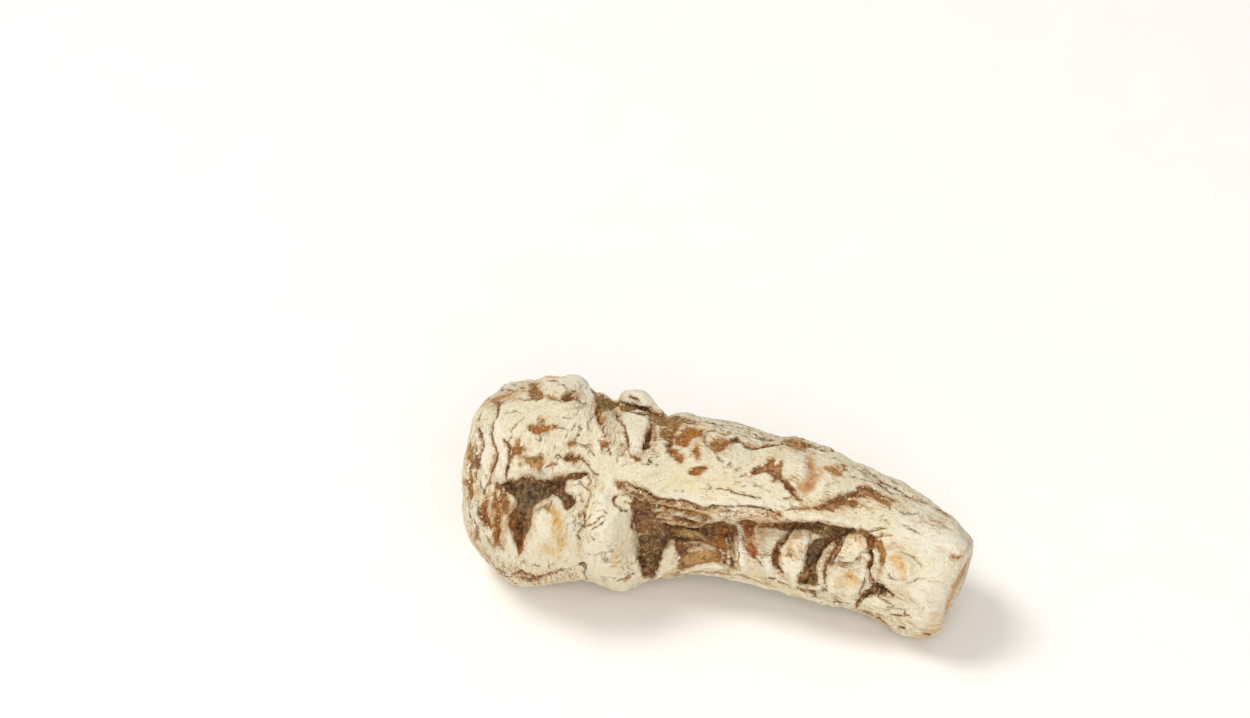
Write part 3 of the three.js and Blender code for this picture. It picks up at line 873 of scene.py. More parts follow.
TROUGH_SHAPES = (
    Form(HOLLOW, -1.4, 0.8, dome=-0.5, swell=1.5),
    Form(SHARD, 1.5, 0.5, dome=0.3, swell=1.0),
    Form((-5.4, -3, -3.8, -2.9, -2.2, -3.6, -1.9, -4.3, -2.8, -4.5, -4.8, -4.1),
        1.1, 0.8, dome=0.3, swell=0.8),
    Form((-5.2, -6.6, -3.2, -5.9, -0.6, -6, 0.2, -7.2, -1.6, -7.8, -5, -8), 0.6, 1.4),
    Form((2.2, -2.6, 3, -2.6, 3.9, -8.2, 2.8, -8.4, 2.4, -6.5), 1.2, 0.5, dome=0.2, swell=0.6),
    Form((3.2, -2.4, 4.4, -2.2, 5.1, -6.6, 4.6, -8, 3.8, -6.5, 3.4, -4.4), 0.5, 0.6),
    Form(SPECKLED_RIB, 0.8, 0.8, dome=0.5, swell=1.2),
    Form(BROAD_RIB, 1.1, dome=0.9, swell=1.6),
    Form(GREY_GAP, -1.0, 0.6, dome=-0.3),
    Form((15.7, -4.2, 16.2, -4.5, 14.9, -7.6, 14.3, -10.2, 13.4, -10, 13.9, -8, 14.6, -6.4),
        1.0, 0.5, dome=0.2, swell=0.6),
    Form(UPPER_FLAKE, 1.6, 0.5, dome=0.3, swell=1.4),
    Form(LOWER_FLAKE, 1.1, dome=0.8, swell=1.6),
    Form((20.4, -4.2, 21.2, -4.5, 21, -6.1, 20.9, -8.4, 20.3, -10.2, 20.6, -7.4, 20.6, -5.4), -0.8, 0.4),
    Form((21.3, -4.6, 21.7, -5.4, 21.7, -7.2, 21.2, -9.6, 20.6, -11, 21.1, -6.2), 0.9, 0.4),
    Form((21.8, -4.2, 22.7, -5.4, 22.9, -6.8, 22.1, -8.2, 21.7, -7.2, 21.7, -5.6), -0.4, 0.5),
    Form((20.4, -10.9, 21.5, -9.9, 22.6, -11, 21.7, -11.9, 20.6, -11.7), -0.9, 0.5),
    Form((-6.8, -8.9, -2.6, -8, 2.9, -8.7, 7.2, -9.5, 13.8, -10.4, 13.6, -11.4, 7.2, -10.8, 1, -9.9,
        -6.8, -9.8), 0.5, 0.6),
    Form((1.6, -0.4, 5, -0.5, 9, -1.3, 14, -1.1, 19.6, -2.2, 19.6, -2.9, 14, -1.9, 8.6, -1.8, 5, -1.5,
        1.8, -1.8), 0.5),
    Lip((-10.4, 1.9, -9.1, 1.2, -3.2, 0.3, -0.6, 0.1, 5.7, -0.1, 7.8, -0.8, 9.2, -1.5), 0.8, 0.35, 1.6),
    Lip((-7.8, -2.1, -4.8, -2.4, -3.2, -2.7, -0.9, -2, 0.5, -1.9, 1.7, -2.4, 3.1, -1.8, 5, -1.7, 9.1, -2.1,
        14, -2, 20.2, -3.4), 1.6),
    Lip((-10.4, -8.6, -11.1, -6.4, -11, -4.6, -11.4, -3.4, -11.3, -1.8, -11.8, -0.4), 1.4, 0.6),
    Lip((-8.7, 0.4, -6.6, 0, -2.6, -1, -1.1, -1.1), 0.4, 0.3, 0.8),
)
TROUGH_MARKS = (
    Stain((3.8, -2.3, 4.1, -3.8, 4.7, -6.3), 1.0, BRICK, 0.75),
    Stain((4.7, -5.1, 4.9, -6.1), 0.7, BRICK, 1.0),
    Stain((3.7, -2.4, 4.2, -3.2), 0.9, BRICK, 1.0),
    Stain((5.6, -3, 7.6, -3.6), 1.1, TAN, 0.6),
    Stain((6.2, -3.6, 6, -7.4), 1.3, OLIVE, 0.3),
    Stain((10.2, -3.8, 12.4, -3.7), 0.8, TAN, 0.85),
    Stain((18, -3.9, 18.8, -3.8, 19.6, -4.6, 19.8, -5.4), 0.6),
    Stain((17.6, -9.1, 18.5, -9.4, 18.2, -10.2), 1.0, HONEY, 0.7),
    Stain((18, -9.4, 18.4, -9.9), 0.6),
    Stain((2.6, -4, 3.2, -7.6), 0.5, CHALK),
    Stain((1.2, -4.6, 1.8, -8), 0.8, STRAW, 0.6),
    Stain((-5.6, -6.6, -6, -7.6), 0.6, TAN, 0.4),
    Stain((3, -0.9, 9, -1.7), 0.7, TAN, 0.3),
    Wear((-11, 1.8, -5, 0, 0.6, -0.8, 8, -1.2), 1.2),
    Wear((-9, -3, -2, -3.6, 4, -4.4, 9, -6, 14, -7), 2.4, 0.7),
    Wear((-7, -9.2, 2, -9, 9, -10.2, 16, -12.4), 0.9, 0.8),
    Patch((-13.6, 3.6, -10.8, 2.7, -9.3, 1.8, -8.6, 1.1, -9.4, 0.7, -11.2, 1.3, -13.6, 2.8), depth=0.35),
    Patch((-9.1, 0.4, -5.5, 0, -3.2, -0.5, -1.6, -1, -0.6, -1.6, -2.5, -2.2, -8.3, -1.8, -9.2, -0.8),
        TAN, 0.25),
    Patch((-11.4, 0.9, -9.1, 0.7, -8.1, -2, -5.5, -2.5, -5.4, -3.8, -11.2, -3.3, -11.5, -0.8), MAUVE),
    Patch((-10.6, -6.2, -10.6, -3.7, -8.6, -3.4, -6.5, -3.7, -8.3, -8.1, -9, -9.4, -10, -9.1, -10.9, -6.9),
        LOAM),
    Patch((-5.8, -2.6, -2, -2.8, -0.4, -2.2, 1.5, -1.9, 2.3, -2.7, 2.3, -4.4, 2, -5.1, 2.4, -6.7, 2.6, -8.2,
        0.5, -7.7, -1.3, -7.6, -2.7, -7.9, -5.1, -8.1, -5.3, -7.2, -5.1, -6, -5.8, -4.6), TAN),
    Patch((-5.8, -3.8, -5.2, -5.3, -3.7, -5.3, -4, -6.3, -5.1, -6.7, -5.6, -5.4), MAUVE),
    Patch((-2.2, -2.9, -0.6, -2.4, 0.6, -2.6, 0.6, -4, -0.8, -4.4, -2.2, -4), MAUVE),
    Patch((0.2, -3.2, 1.7, -3, 1.9, -4.8, 1.4, -6.4, 0.4, -6.6, -0.2, -5), RUST),
    Patch((-5.3, -3.2, -3.9, -3, -2.1, -3.9, -2.2, -4.3, -3.3, -4.2, -5.2, -3.8), HONEY, 0.1),
    Patch((-5, -6.9, -3.2, -6.2, -1, -6.1, -0.2, -6.9, -2, -7.5, -5, -7.8), TAN, 0.15),
    Crack((3.3, -2.8, 3.4, -4.2, 3.8, -5.8, 4, -7.4), 0.1, 0.2, RUST),
    Patch((3.5, -2.4, 4.4, -2.3, 4.6, -3.3, 4.3, -4, 3.7, -3.4), BRICK, 0.02),
    Patch((4.3, -4.9, 5, -5.1, 5.3, -6.2, 4.6, -6.6, 4.3, -5.8), BRICK, 0.02),
    Patch(UNDER_STRIP, LOAM),
    Patch((3, -1.7, 6.3, -2.1, 9.1, -2, 9.1, -2.4, 6.3, -2.5, 3.2, -2.2), RUST),
    Patch((15.8, -4, 16.9, -4.2, 16.8, -4.8, 16.2, -5.2), PEAT, 0.5),
    Patch((9.8, -3.2, 8.9, -4, 8.1, -5.2, 7.5, -6.6, 7.7, -8, 8.7, -9, 8.3, -7.4, 8.4, -6, 9.1, -4.7,
        9.8, -4), OLIVE, 0.4),
    Crack((8.4, -4.4, 7.7, -6, 7.7, -7.6, 8.5, -8.8), 0.2, hue=RUST),
    Patch(GREY_GAP, ASH),
    Patch((12, -8.9, 13.2, -8.5, 13.3, -9.9, 12.2, -10.3, 11.4, -10), TAN, 0.15),
    Crack((12, -7.2, 12.4, -8.8, 11.9, -10.2), depth=0.25, hue=SOIL),
    Crack((14.9, -4.9, 13.9, -6.3, 13.2, -8), 0.2, 0.1, RUST),
    Crack((16.5, -4.7, 15.8, -5.8, 15, -7.4, 14.5, -8.8, 14.4, -10.2), 0.26, 0.45, RUST),
    Crack((17.4, -3.8, 16, -6.6, 15.2, -7.7), 0.18),
    Crack((15.2, -7.7, 16.3, -7.4, 17.6, -7.6, 18.8, -6.9, 19.6, -5.9, 20.1, -5.5), 0.07, 0.2, RUST),
    Patch((20.3, -4, 21.2, -4.4, 21, -5.8, 21, -7.4, 20.8, -8.6, 20.3, -8, 20.6, -6.3, 20.3, -5.2), RUST),
    Patch((21.5, -4.3, 22.4, -5.1, 22.8, -6.6, 22.2, -7.9, 21.8, -7.2, 21.7, -5.8), AMBER, 0.1),
    Crack((20.7, -8.5, 21, -10.2, 20.7, -11), 0.2, hue=RUST),
    Patch((20.4, -10.8, 21.4, -9.8, 23.6, -11.7, 22.4, -11.8, 21, -11.7, 20, -12, 18.6, -13.2, 19.6, -11.8),
        SOIL, 0.4),
    Crack((22, -11, 23, -11.4, 24, -12.1), 0.16, 0.25, SOIL),
    Crack((20.8, -11.5, 19.8, -12.2, 18.6, -13.4), 0.18, 0.25, SOIL),
    Crack((20, -9.1, 19, -12), 0.12),
    Crack((20.4, -4.3, 23.6, -3.7), depth=0.2, hue=RUST),
    Crack((17.5, -4.4, 18.6, -3.6, 19.5, -4.2, 20.1, -5.2), 0.06, 0.1, RUST),
    Crack((20.2, -3.4, 21.3, -3.1, 22.8, -2.9), 0.16, 0.2),
    Crack((9.3, -6.2, 9.9, -6.7, 10.2, -7.4), 0.2, 0.2, AMBER),
    Crack((10.7, -11, 12.7, -11.4, 13.4, -12.1), 0.26),
    Crack((13.8, -11.2, 14.9, -11.4), 0.18, 0.2),
    Crack((-6.8, -8.9, -4.7, -9.2, -1.9, -8.8, 3.8, -9.3), 0.12, 0.2, TAN),
    Crack((5.6, -9.6, 7.2, -9.6, 8.6, -10.2, 10, -10.4), 0.1, 0.2),
    Fibre((-12.4, 3, -9.5, 1.5, -7.9, 0.9, -6.5, 0.7), 0.16),
    Fibre((-13, 2.6, -10.6, 1.2, -9.6, 0.8), 0.12, 0.2, HONEY),
    Fibre((-9.5, 0.7, -7.9, 0.7, -6.2, 0.5, -3.2, -0.2, 0.5, -0.6), 0.2, 0.3, HONEY),
    Fibre((-9.1, -0.3, -7.2, -0.3, -5.5, -0.6, -4.1, -1), 0.14, 0.2, HONEY),
    Fibre((-6.7, -0.8, -3.2, -1.4, -1.8, -1.8, -0.4, -1.3, 1.5, -1.1), 0.2, 0.3),
    Fibre((-7.8, -2, -2.7, -2.4, -0.2, -1.7), 0.12, 0.2, HONEY),
    Fibre((-8.4, -1.3, -5, -1.7), 0.12, 0.15, TAN),
    Fibre((-4.8, -5, -3.2, -4.8, -1.3, -5.3, 0.1, -6.2), 0.2, 0.3, TAN),
    Fibre((-4, -5.7, -2, -5.8, -0.4, -6.8), 0.2, hue=HONEY),
    Fibre((1.1, -4.4, 1.5, -5.5, 1.5, -7.2, 1.2, -8.3), 0.16, 0.3),
    Fibre((1.7, -4.1, 2.2, -6, 2.6, -8.1), 0.12, 0.2, STRAW),
    Fibre((0.2, -5.6, 0.6, -6.8, 0.4, -7.8), 0.14, 0.2, TAN),
    Fibre((15.7, -4.6, 13.9, -8, 13.6, -9.6), 0.3, 0.3),
    Fibre((21.4, -5.3, 21.5, -7.4, 20.8, -10.8), 0.26, 0.3),
    Crack((-12.6, 3.5, -9.5, 1.9, -7.9, 1.3, -6.2, 0.9, -4.6, 0.7, -2, 0, -0.6, 0.1, 2.4, 0), 0.2, hue=SOIL),
    Crack((2.4, 0, 5.7, -0.1, 7.9, -0.9, 9.2, -1.5)),
    Crack((-12.6, 2, -11.2, 1.1, -9.8, 0.6, -3.7, -0.6), 0.22, 0.25),
    Crack((-6.2, -1.2, -4.8, -1.7, -3.2, -2, -2, -2), 0.18, 0.25, SOIL),
    Crack((-8.1, -2.1, -4.8, -2.5, -3.2, -2.8, -0.9, -2.1, 0.5, -1.9), 0.22, 0.35, PEAT),
    Crack((0.5, -1.9, 1.9, -1.2, 3.8, -0.7), 0.1, 0.15, RUST),
    Crack((-5.5, -4, -3.2, -4.5, -2.2, -4.4), 0.16, 0.2, SOIL),
    Crack((0.3, -0.7, 1.5, -0.6, 2.6, -0.7), 0.12, 0.15, SOIL),
    Crack((8.8, -0.4, 13.5, 0, 14.9, 0.4), 0.15, 0.25, BARK),
)

# The right half of the flank and the tail from the front.
TAIL_SHAPES = (
    Form((22.7, -6.1, 24, -5.8, 25.8, -7, 26.3, -8.9, 25.6, -10.4, 23.2, -10.8, 22.2, -9.5, 22.2, -7.6),
        0.5, 1.0, dome=0.4),
    Form((15.6, 2.2, 18.6, 3.6, 22.4, 2.4, 27.6, 0.2, 26.4, -0.6, 21.6, 1, 20.2, 2.2, 17.6, 1.4), 0.3, 1.0),
    Form((24.6, -2, 29, -1.2, 32.2, -3.6, 32.4, -6, 28.6, -4.6, 25, -3.6), 0.25, 1.6, dome=0.2),
    Nudge((34.4, -2.9), (-1, -0.4), 1.7),
    Nudge((26.9, 2.9), (-0.15, -0.3), 2.0),
    Nudge((18.2, 6.7), (-0.2, -0.5), 1.8),
    Nudge((15, 8.7), (-0.1, -0.75), 1.8),
    Nudge((31.3, -13.9), (-0.4, 0.1), 2.0),
    Nudge((28.4, -17.9), (0, 0.45), 3.0),
)
TAIL_MARKS = (
    Stain((26, -3, 31, -6, 29, -11, 26, -13), 5.0, CHALK, 0.5),
    Stain((23.4, -5.3, 24.8, -5.5), 0.8, BLUSH, 0.5),
    Stain((23.9, -6.6, 24.9, -8.4), 1.5, HONEY, 0.85),
    Stain((24.3, -7, 24.6, -7.9), 0.9, strength=1.0),
    Stain((24.8, -9.2, 25, -9.6), 0.7, strength=0.9),
    Stain((34.6, -5, 34.4, -6.7, 31.9, -10.5, 31.3, -11.6, 30.8, -15, 30.2, -16.5), 0.7, TAN),
    Stain((11.6, 0, 18, 0.3), 1.0, TAN, 0.5),
    Stain((22, 0.8, 24.4, 0.6), 1.0, TAN, 0.45),
    Wear((12, 0.2, 18, 0.8, 24, 0.4, 30, -2.4), 2.0, 0.7),
    Wear((14, -12.6, 20, -14.6, 28, -16.8), 1.6, 0.7),
    Wear((16, 5.4, 22, 3.6, 28, 1, 33, -2.4), 1.4, 0.5),
    Crack((16.9, 1.5, 18.3, 1.7, 19.4, 2.3, 20.2, 2.5, 21.1, 1.9, 24.1, 0.8), 0.28, hue=MAUVE),
    Patch((17.2, 1.6, 18.2, 1.9, 19.2, 2.7, 20.6, 2.4, 21.8, 1.5, 23.2, 0.5, 21.8, 0.8, 20.6, 1.3, 19.2, 1.5),
        MAUVE, 0.2),
    Crack((13.4, 0.9, 14.9, 0.7, 16.6, 0.9, 17.7, 0.8, 18.6, 0.1, 20.5, -0.2), 0.16, 0.2, BARK),
    Patch((12.8, -0.1, 14.6, 0.5, 16.4, 1.5, 17.4, 1.3, 18.8, 0.6, 18.2, 0.1, 17, 0.1, 14.9, -0.3),
        MAUVE, 0.2),
    Crack((17.3, 4.7, 18.1, 4.1, 21.7, 3, 23.4, 2, 24.9, 1.6, 27.2, 0.5), 0.1, 0.15, SOIL),
    Crack((17.7, 5.9, 19, 5.1, 20.5, 4.5, 21.7, 4.3), 0.1, 0.15, SOIL),
    Crack((23.2, 3.6, 25.1, 2.8), 0.08, 0.1, BARK),
    Crack((26.8, 1.3, 28.3, 0.3), 0.08, 0.1, BARK),
    Patch((14.7, 5.1, 17.2, 5.2, 16.7, 4.4, 15.6, 4.2), TAN, 0.15),
    Crack((22.4, 4.3, 23.4, 4.1, 24.5, 3.7), 0.18, 0.15, TAN),
    Crack((24.9, -2.2, 26, -2.7, 27.4, -3.7), 0.15, 0.15, BARK),
    Crack((29.3, -1.8, 30.2, -2.3, 31.6, -3.3), 0.09, 0.12),
    Crack((25.5, -0.7, 26.2, -1, 27.2, -0.9), 0.09, 0.12, BARK),
    Crack((22.2, 0.3, 23.2, 0.1, 23.3, -0.6), 0.2, 0.12, TAN),
    Crack((29.4, -0.2, 30.4, -0.5, 32.6, -2.1), 0.2, 0.2, BARK),
    Crack((24.7, -10.8, 26.2, -10.1, 27.4, -9.7, 28.7, -10.1), 0.08, 0.12, TAN),
    Crack((24.3, -5.9, 25.8, -6.5, 27.2, -7.6, 27.7, -8.4), 0.08, 0.12, TAN),
    Patch((31.6, -6.5, 32.4, -6.7, 32.4, -7.1, 31.7, -7), TAN, 0.15),
    Crack((18.6, -14.1, 20.2, -14.2, 22.1, -14.6), 0.13, 0.2, BARK),
    Crack((23.2, -14.6, 26.1, -14.9), 0.12, 0.2, BARK),
    Crack((24.3, -16.3, 25.3, -16.4), 0.18, 0.2, RUST),
    Crack((27.5, -17.1, 28.6, -17.2), 0.2, 0.2),
    Crack((14.9, -12.7, 17.9, -13.1), 0.13, 0.2, BARK),
)

# The crown's blunt end: the scar of the old stem, the rings round it and worn pits.
STEM_SCAR = (0.6, 1.2)
CROWN_END_SHAPES = (
    Form(arc(STEM_SCAR, 4.6), 0.4, 1.0),
    Form(arc(STEM_SCAR, 3.2), -1.0, 0.8, dome=-0.6, swell=1.2),
    Form(arc(STEM_SCAR, 1.0), 0.7),
    Form((5.4, 7.4, 8, 5.2, 9.4, 1.6, 8.2, 1.2, 7, 4, 4.8, 6.2), -0.5, 0.8),
    Form((-9.4, -2.6, -6.8, -5.6, -2.4, -8.4, -3, -9.4, -7.8, -7.2, -10.2, -3.6), 0.4, 1.0),
)
CROWN_END_MARKS = (
    Stain(arc(STEM_SCAR, 4.2, 40, 250), 1.0, HONEY, 0.5),
    Stain(arc(STEM_SCAR, 10.4, 100, 260), 1.8, TAN, 0.4),
    Wear(arc(STEM_SCAR, 6.5, 70, 290), 4.0, 0.9),
    Patch(arc(STEM_SCAR, 3.2), SOIL, 0.25),
    Patch(arc(STEM_SCAR, 1.5), RUST, 0.1),
    Fibre((-1.9, 1.8, -0.4, 2.6, 1.6, 2.9, 2.8, 2.2), 0.3, 0.4, HONEY),
    Fibre((-1.4, -0.4, 0.2, 0.2, 1.4, -0.6), 0.26, 0.35, STRAW),
    Fibre((1.8, 1.2, 2.8, 0.4, 2.6, -0.8), 0.22, 0.3, TAN),
    Patch((5.8, 6.8, 7.9, 4.6, 9, 1.8, 8.4, 1.8, 7, 4.2), OLIVE),
    Crack(arc(STEM_SCAR, 5.3, 30, 110), 0.16, 0.35),
    Crack(arc(STEM_SCAR, 5.9, 215, 262), 0.16, hue=RUST),
    Crack(arc(STEM_SCAR, 7.6, -50, 40), 0.2, 0.4),
    Crack(arc(STEM_SCAR, 8.2, 130, 180), 0.16, 0.35, RUST),
    Crack(arc(STEM_SCAR, 9.6, 10, 66), depth=0.35, hue=BARK),
    Crack(arc(STEM_SCAR, 9.6, 200, 250), 0.18, 0.4),
    Crack(spoke(STEM_SCAR, 5.2, 7.4, 15), 0.1, 0.25, BARK),
    Crack(spoke(STEM_SCAR, 4.9, 8.4, 118), depth=0.25),
    Crack(spoke(STEM_SCAR, 6.2, 9.0, 290), 0.12, 0.25, RUST),
    Patch((-6.6, 6.2, -3.6, 5.6, -3.9, 4.9, -6.9, 5.2), OLIVE),
    Patch((-6.6, 0.4, -5.6, 0.2, -4.9, -3, -5.8, -3.8, -6.2, -1.6)),
    Patch((1.4, -6.4, 4.6, -5.2, 6.4, -3.4, 4.9, -5.6, 3.2, -6.6), SIENNA),
    Patch((-7.6, 6.4, -5.8, 7.9, -3.6, 8.4, -4.4, 7, -6.4, 5.6), depth=0.25),
)

# The tail's cut face: a tan rim, the pale outer layer, a ring, and a yellowish core with rays.
CORE = (1.6, 0.0)
TAIL_END_SHAPES = (
    Form(arc(CORE, 6.0), -0.35, 1.2),
    Form(arc(CORE, 3.9), 0.3, dome=0.2),
)
TAIL_END_MARKS = (
    Stain(arc(CORE, 2.0, 0, 350), 2.2, HONEY, 0.5),
    Stain(arc(CORE, 3.9, 0, 350), 0.5, strength=0.6),
    Stain(arc(CORE, 5.4, 0, 350), 1.0, CHALK),
    Stain(arc(CORE, 7.4, 0, 350), 1.0, TAN, 0.5),
    Wear(arc(CORE, 4.0, 0, 350), 2.0, 0.4),
    Patch(arc(CORE, 0.6)),
    Crack(arc(CORE, 3.9, 60, 118), 0.1, 0.25, BARK),
    Crack(arc(CORE, 4.0, 240, 290), 0.1, 0.2),
    Crack(spoke(CORE, 0.5, 3.4, 35), 0.12),
    Crack(spoke(CORE, 0.5, 2.2, 150), 0.08, 0.25, TAN),
    Crack(spoke(CORE, 0.5, 4.6, 205), 0.12),
    Crack(spoke(CORE, 1.4, 3.0, 300), 0.08, 0.25, BARK),
    Crack(spoke(CORE, 4.6, 6.6, 80), 0.1, 0.2, BARK),
    Crack(spoke(CORE, 5.0, 6.4, 330), 0.08, 0.2, BARK),
)

# The far side: its burl, the scars of side roots and the long furrow.
REAR_BURL = (14.6, -8, 16.4, -5.4, 19.4, -4.6, 22.4, -6, 23.6, -9.2, 22.6, -12.4, 19.4, -14.2, 16, -12.6,
    14.6, -10.6)
REAR_POCKET = (11.2, -7.4, 12.2, -4.8, 14, -3.6, 15.8, -1.8, 18.6, -2, 20.2, -3.2, 18.2, -3.8, 16.2, -4.6,
    14.9, -7.4, 14.4, -10.2, 13, -9.4)
SIDE_POCKET = (22.6, -3.2, 24.6, -4, 25.9, -6.2, 26.2, -9.2, 24.9, -9.6, 24, -7, 23.2, -5.6)
FURROW = (-27, -3.4, -22, -2.8, -16, -3.2, -9, -4, -3.6, -4.2, 4.6, -2.6, 1.8, -4.8, -4, -6, -9.6, -6.2,
    -15, -5.4, -21, -4.8, -25.4, -4.6)
LARGE_SCAR, SMALL_SCAR = (-13.4, 1.6), (3.6, -9.4)
REAR_SHAPES = (
    Form(REAR_POCKET, -1.1, 0.8, dome=-0.4),
    Form(SIDE_POCKET, -0.7, 0.8),
    Form(REAR_BURL, 0.7, 0.8, dome=0.9, swell=2.2),
    Form(FURROW, -0.9, 0.8, dome=-0.4),
    Form((-19, -3.2, -12.6, -3.8, -12.4, -5, -18.8, -4.4), 0.8, 0.6),
    Form(arc(LARGE_SCAR, 3.1), 0.5, 1.0),
    Form(arc(LARGE_SCAR, 1.9), -0.9, dome=-0.3),
    Form(arc(SMALL_SCAR, 2.4), 0.4, 0.9),
    Form(arc(SMALL_SCAR, 1.4), -0.8, 0.6),
    Form((26.6, 6.6, 28.6, 3, 29, -3.4, 27.8, -9.4, 26.8, -9, 27.2, -3, 26.4, 3), 0.4),
    Form((30.4, 4.4, 32, 0.2, 31.8, -6, 30.6, -6, 30.4, 0.4), 0.35),
    Form((16.2, 5.6, 19.6, 7.4, 23.4, 6.6, 23.4, 3.4, 19, 2.4, 16, 3.2), 0.4, 1.0, dome=0.3),
    Form((-31.4, 4, -24, 5, -19.6, 3.8, -23.8, 2.6, -31, 1.6), 0.35, 1.0),
    Form((6.4, 3.4, 10, 0.2, 11.6, -5.4, 9.8, -7.6, 8, -3, 5.6, 0.6), -0.6, 1.0),
    Lip((12.4, -3.8, 15.4, -1.8, 20, -1.2, 24.6, -3.4), 0.8, 0.4, 2.0),
    Lip((-26, -3, -16, -3, -9, -3.8, -3.6, -4, 2.6, -3), 0.9, 0.4, 1.8),
)
REAR_MARKS = (
    Stain((18, -7.4, 19.6, -10.6), 1.5, HONEY, 0.7),
    Stain((-12, 3.4, -9.8, 1.4), 1.0, HONEY, 0.6),
    Stain((4.4, -7.4, 6.4, -9), 0.9, strength=0.6),
    Stain((20.6, 5.4, 22.4, 5), 0.9, strength=0.5),
    Wear((14, -4, 20, 0, 27, -4, 29, -10), 3.0, 0.9),
    Wear((-27, -4, -12, -5, 2, -4.6), 2.6, 0.9),
    Wear((-28, 2, -14, 2.4, 2, 1.8, 10, -1.6), 2.2, 0.65),
    Wear((-26, -9, -12, -9.6, 2, -9.6), 2.4, 0.7),
    Patch(REAR_POCKET, SOIL, 0.25),
    Patch(SIDE_POCKET, depth=0.25),
    Patch((12.4, -4.6, 15.2, -2.8, 17, -3.6, 14.2, -6.2, 13, -8.8), RUST, 0.1),
    Patch((22.8, -3.4, 25, -5.6, 25.4, -8.4, 24.2, -7.6, 23.2, -5.2), ASH, 0.1),
    Fibre((13.4, -6.4, 15.4, -3.6, 18.6, -2.8, 21.4, -3.2), 0.22, 0.3, HONEY),
    Patch(FURROW),
    Patch((-8, -4.2, -3.6, -4.6, 1.2, -3.8, -3.8, -5.6, -8.4, -5.8), LOAM, 0.2),
    Patch((-24, -3.2, -19.8, -3.2, -20, -4.6, -24.2, -4.4), RUST, 0.2),
    Fibre((-24.6, -3.8, -19, -3.9, -13, -4.3, -7.4, -5), 0.3, 0.35),
    Fibre((-14.4, -5, -8, -5.6, -2.4, -5.2), 0.2, 0.3, TAN),
    Fibre((-6, -4.5, -1.4, -4.6, 2.4, -3.6), 0.16, hue=HONEY),
    Crack((4, -2.8, 7.4, -1.8, 10.8, -2.4), 0.2, 0.35),
    Crack((-25.4, -4.4, -29.4, -4, -32.4, -4.8), 0.16),
    Patch(arc(LARGE_SCAR, 1.9)),
    Patch(arc(SMALL_SCAR, 1.4), OLIVE),
    Fibre((-14.8, 1, -13.6, 1.9, -12, 2.2), 0.24, 0.3, HONEY),
    Fibre((-13.8, 0, -12.8, 0.6, -11.8, 0.6), 0.16, hue=TAN),
    Crack(arc(LARGE_SCAR, 3.2, 20, 170), 0.18, 0.35),
    Crack(arc(LARGE_SCAR, 3.4, 200, 330), 0.16, hue=RUST),
    Crack(arc(SMALL_SCAR, 2.5, 60, 250), 0.18, 0.35),
    Crack((-16.8, 1.4, -20.6, 0.6, -26.4, 0.4, -31.6, 1), 0.16, hue=RUST),
    Crack((-10, 2, -5.2, 1.2, 0.4, 1.8, 4.6, 0.6), 0.18),
    Crack((-9.6, 4.6, -4, 4.8, 1.8, 4), depth=0.25, hue=BARK),
    Crack((-30.6, 4.4, -24.2, 5.4, -18.8, 4.4), 0.16, hue=BARK),
    Patch((-28.4, -0.2, -25.8, 0.2, -22.2, -0.6, -24.4, -0.9), RUST, 0.2),
    Patch((7, 2.2, 9.4, -0.4, 10.6, -4.8, 9.8, -6.2, 8.6, -3, 6.4, 0.8), OLIVE),
    Crack((26.4, 7, 28.2, 3.2, 28.4, -3, 27.4, -9.6), 0.2, 0.4),
    Crack((30, 5, 31.6, 0.4, 31.4, -6.4, 30, -10.4), 0.18, 0.35, RUST),
    Crack((24.6, 4.4, 25.6, 0.6, 26, -1.8), hue=BARK),
    Patch((16.4, 3.4, 18.4, 4.4, 21, 3.8, 23, 4.2, 21.4, 2.6, 19.8, 2.9, 18, 2.2), RUST, 0.25),
    Patch((24.6, -10.2, 25.4, -10.6, 25.8, -13, 26.6, -14.8, 25.2, -13.8, 24.8, -12), depth=0.25),
    Crack((18.4, -8.2, 19.4, -9.8, 19, -11.8), 0.12, 0.2, TAN),
    Crack((-20.2, -8.8, -12.4, -9.4, -5.8, -8.8), 0.16),
    Crack((-29.6, -8.4, -25.2, -8, -22.6, -8.6), depth=0.25, hue=RUST),
    Patch((-17.6, -7.2, -13.4, -7.4, -10.8, -8, -13.6, -8.6, -17, -8.2), MAUVE, 0.2),
    Patch((-5.6, -8.6, -2.8, -8, -0.2, -8.6, -1.8, -8.9, -3, -9.4), SIENNA, 0.2),
)

DRAWINGS = (
    Drawing(REAR, REAR_SHAPES, REAR_MARKS, stray=2.4),
    Drawing(CROWN_END, CROWN_END_SHAPES, CROWN_END_MARKS, stray=2.8),
    Drawing(TAIL_END, TAIL_END_SHAPES, TAIL_END_MARKS, stray=1.8),
    Drawing(FRONT, CROWN_SHAPES, CROWN_MARKS),
    Drawing(FRONT, NECK_SHAPES, NECK_MARKS),
    Drawing(FRONT, TROUGH_SHAPES, TROUGH_MARKS),
    Drawing(FRONT, TAIL_SHAPES, TAIL_MARKS),
)


# ---- the root ----


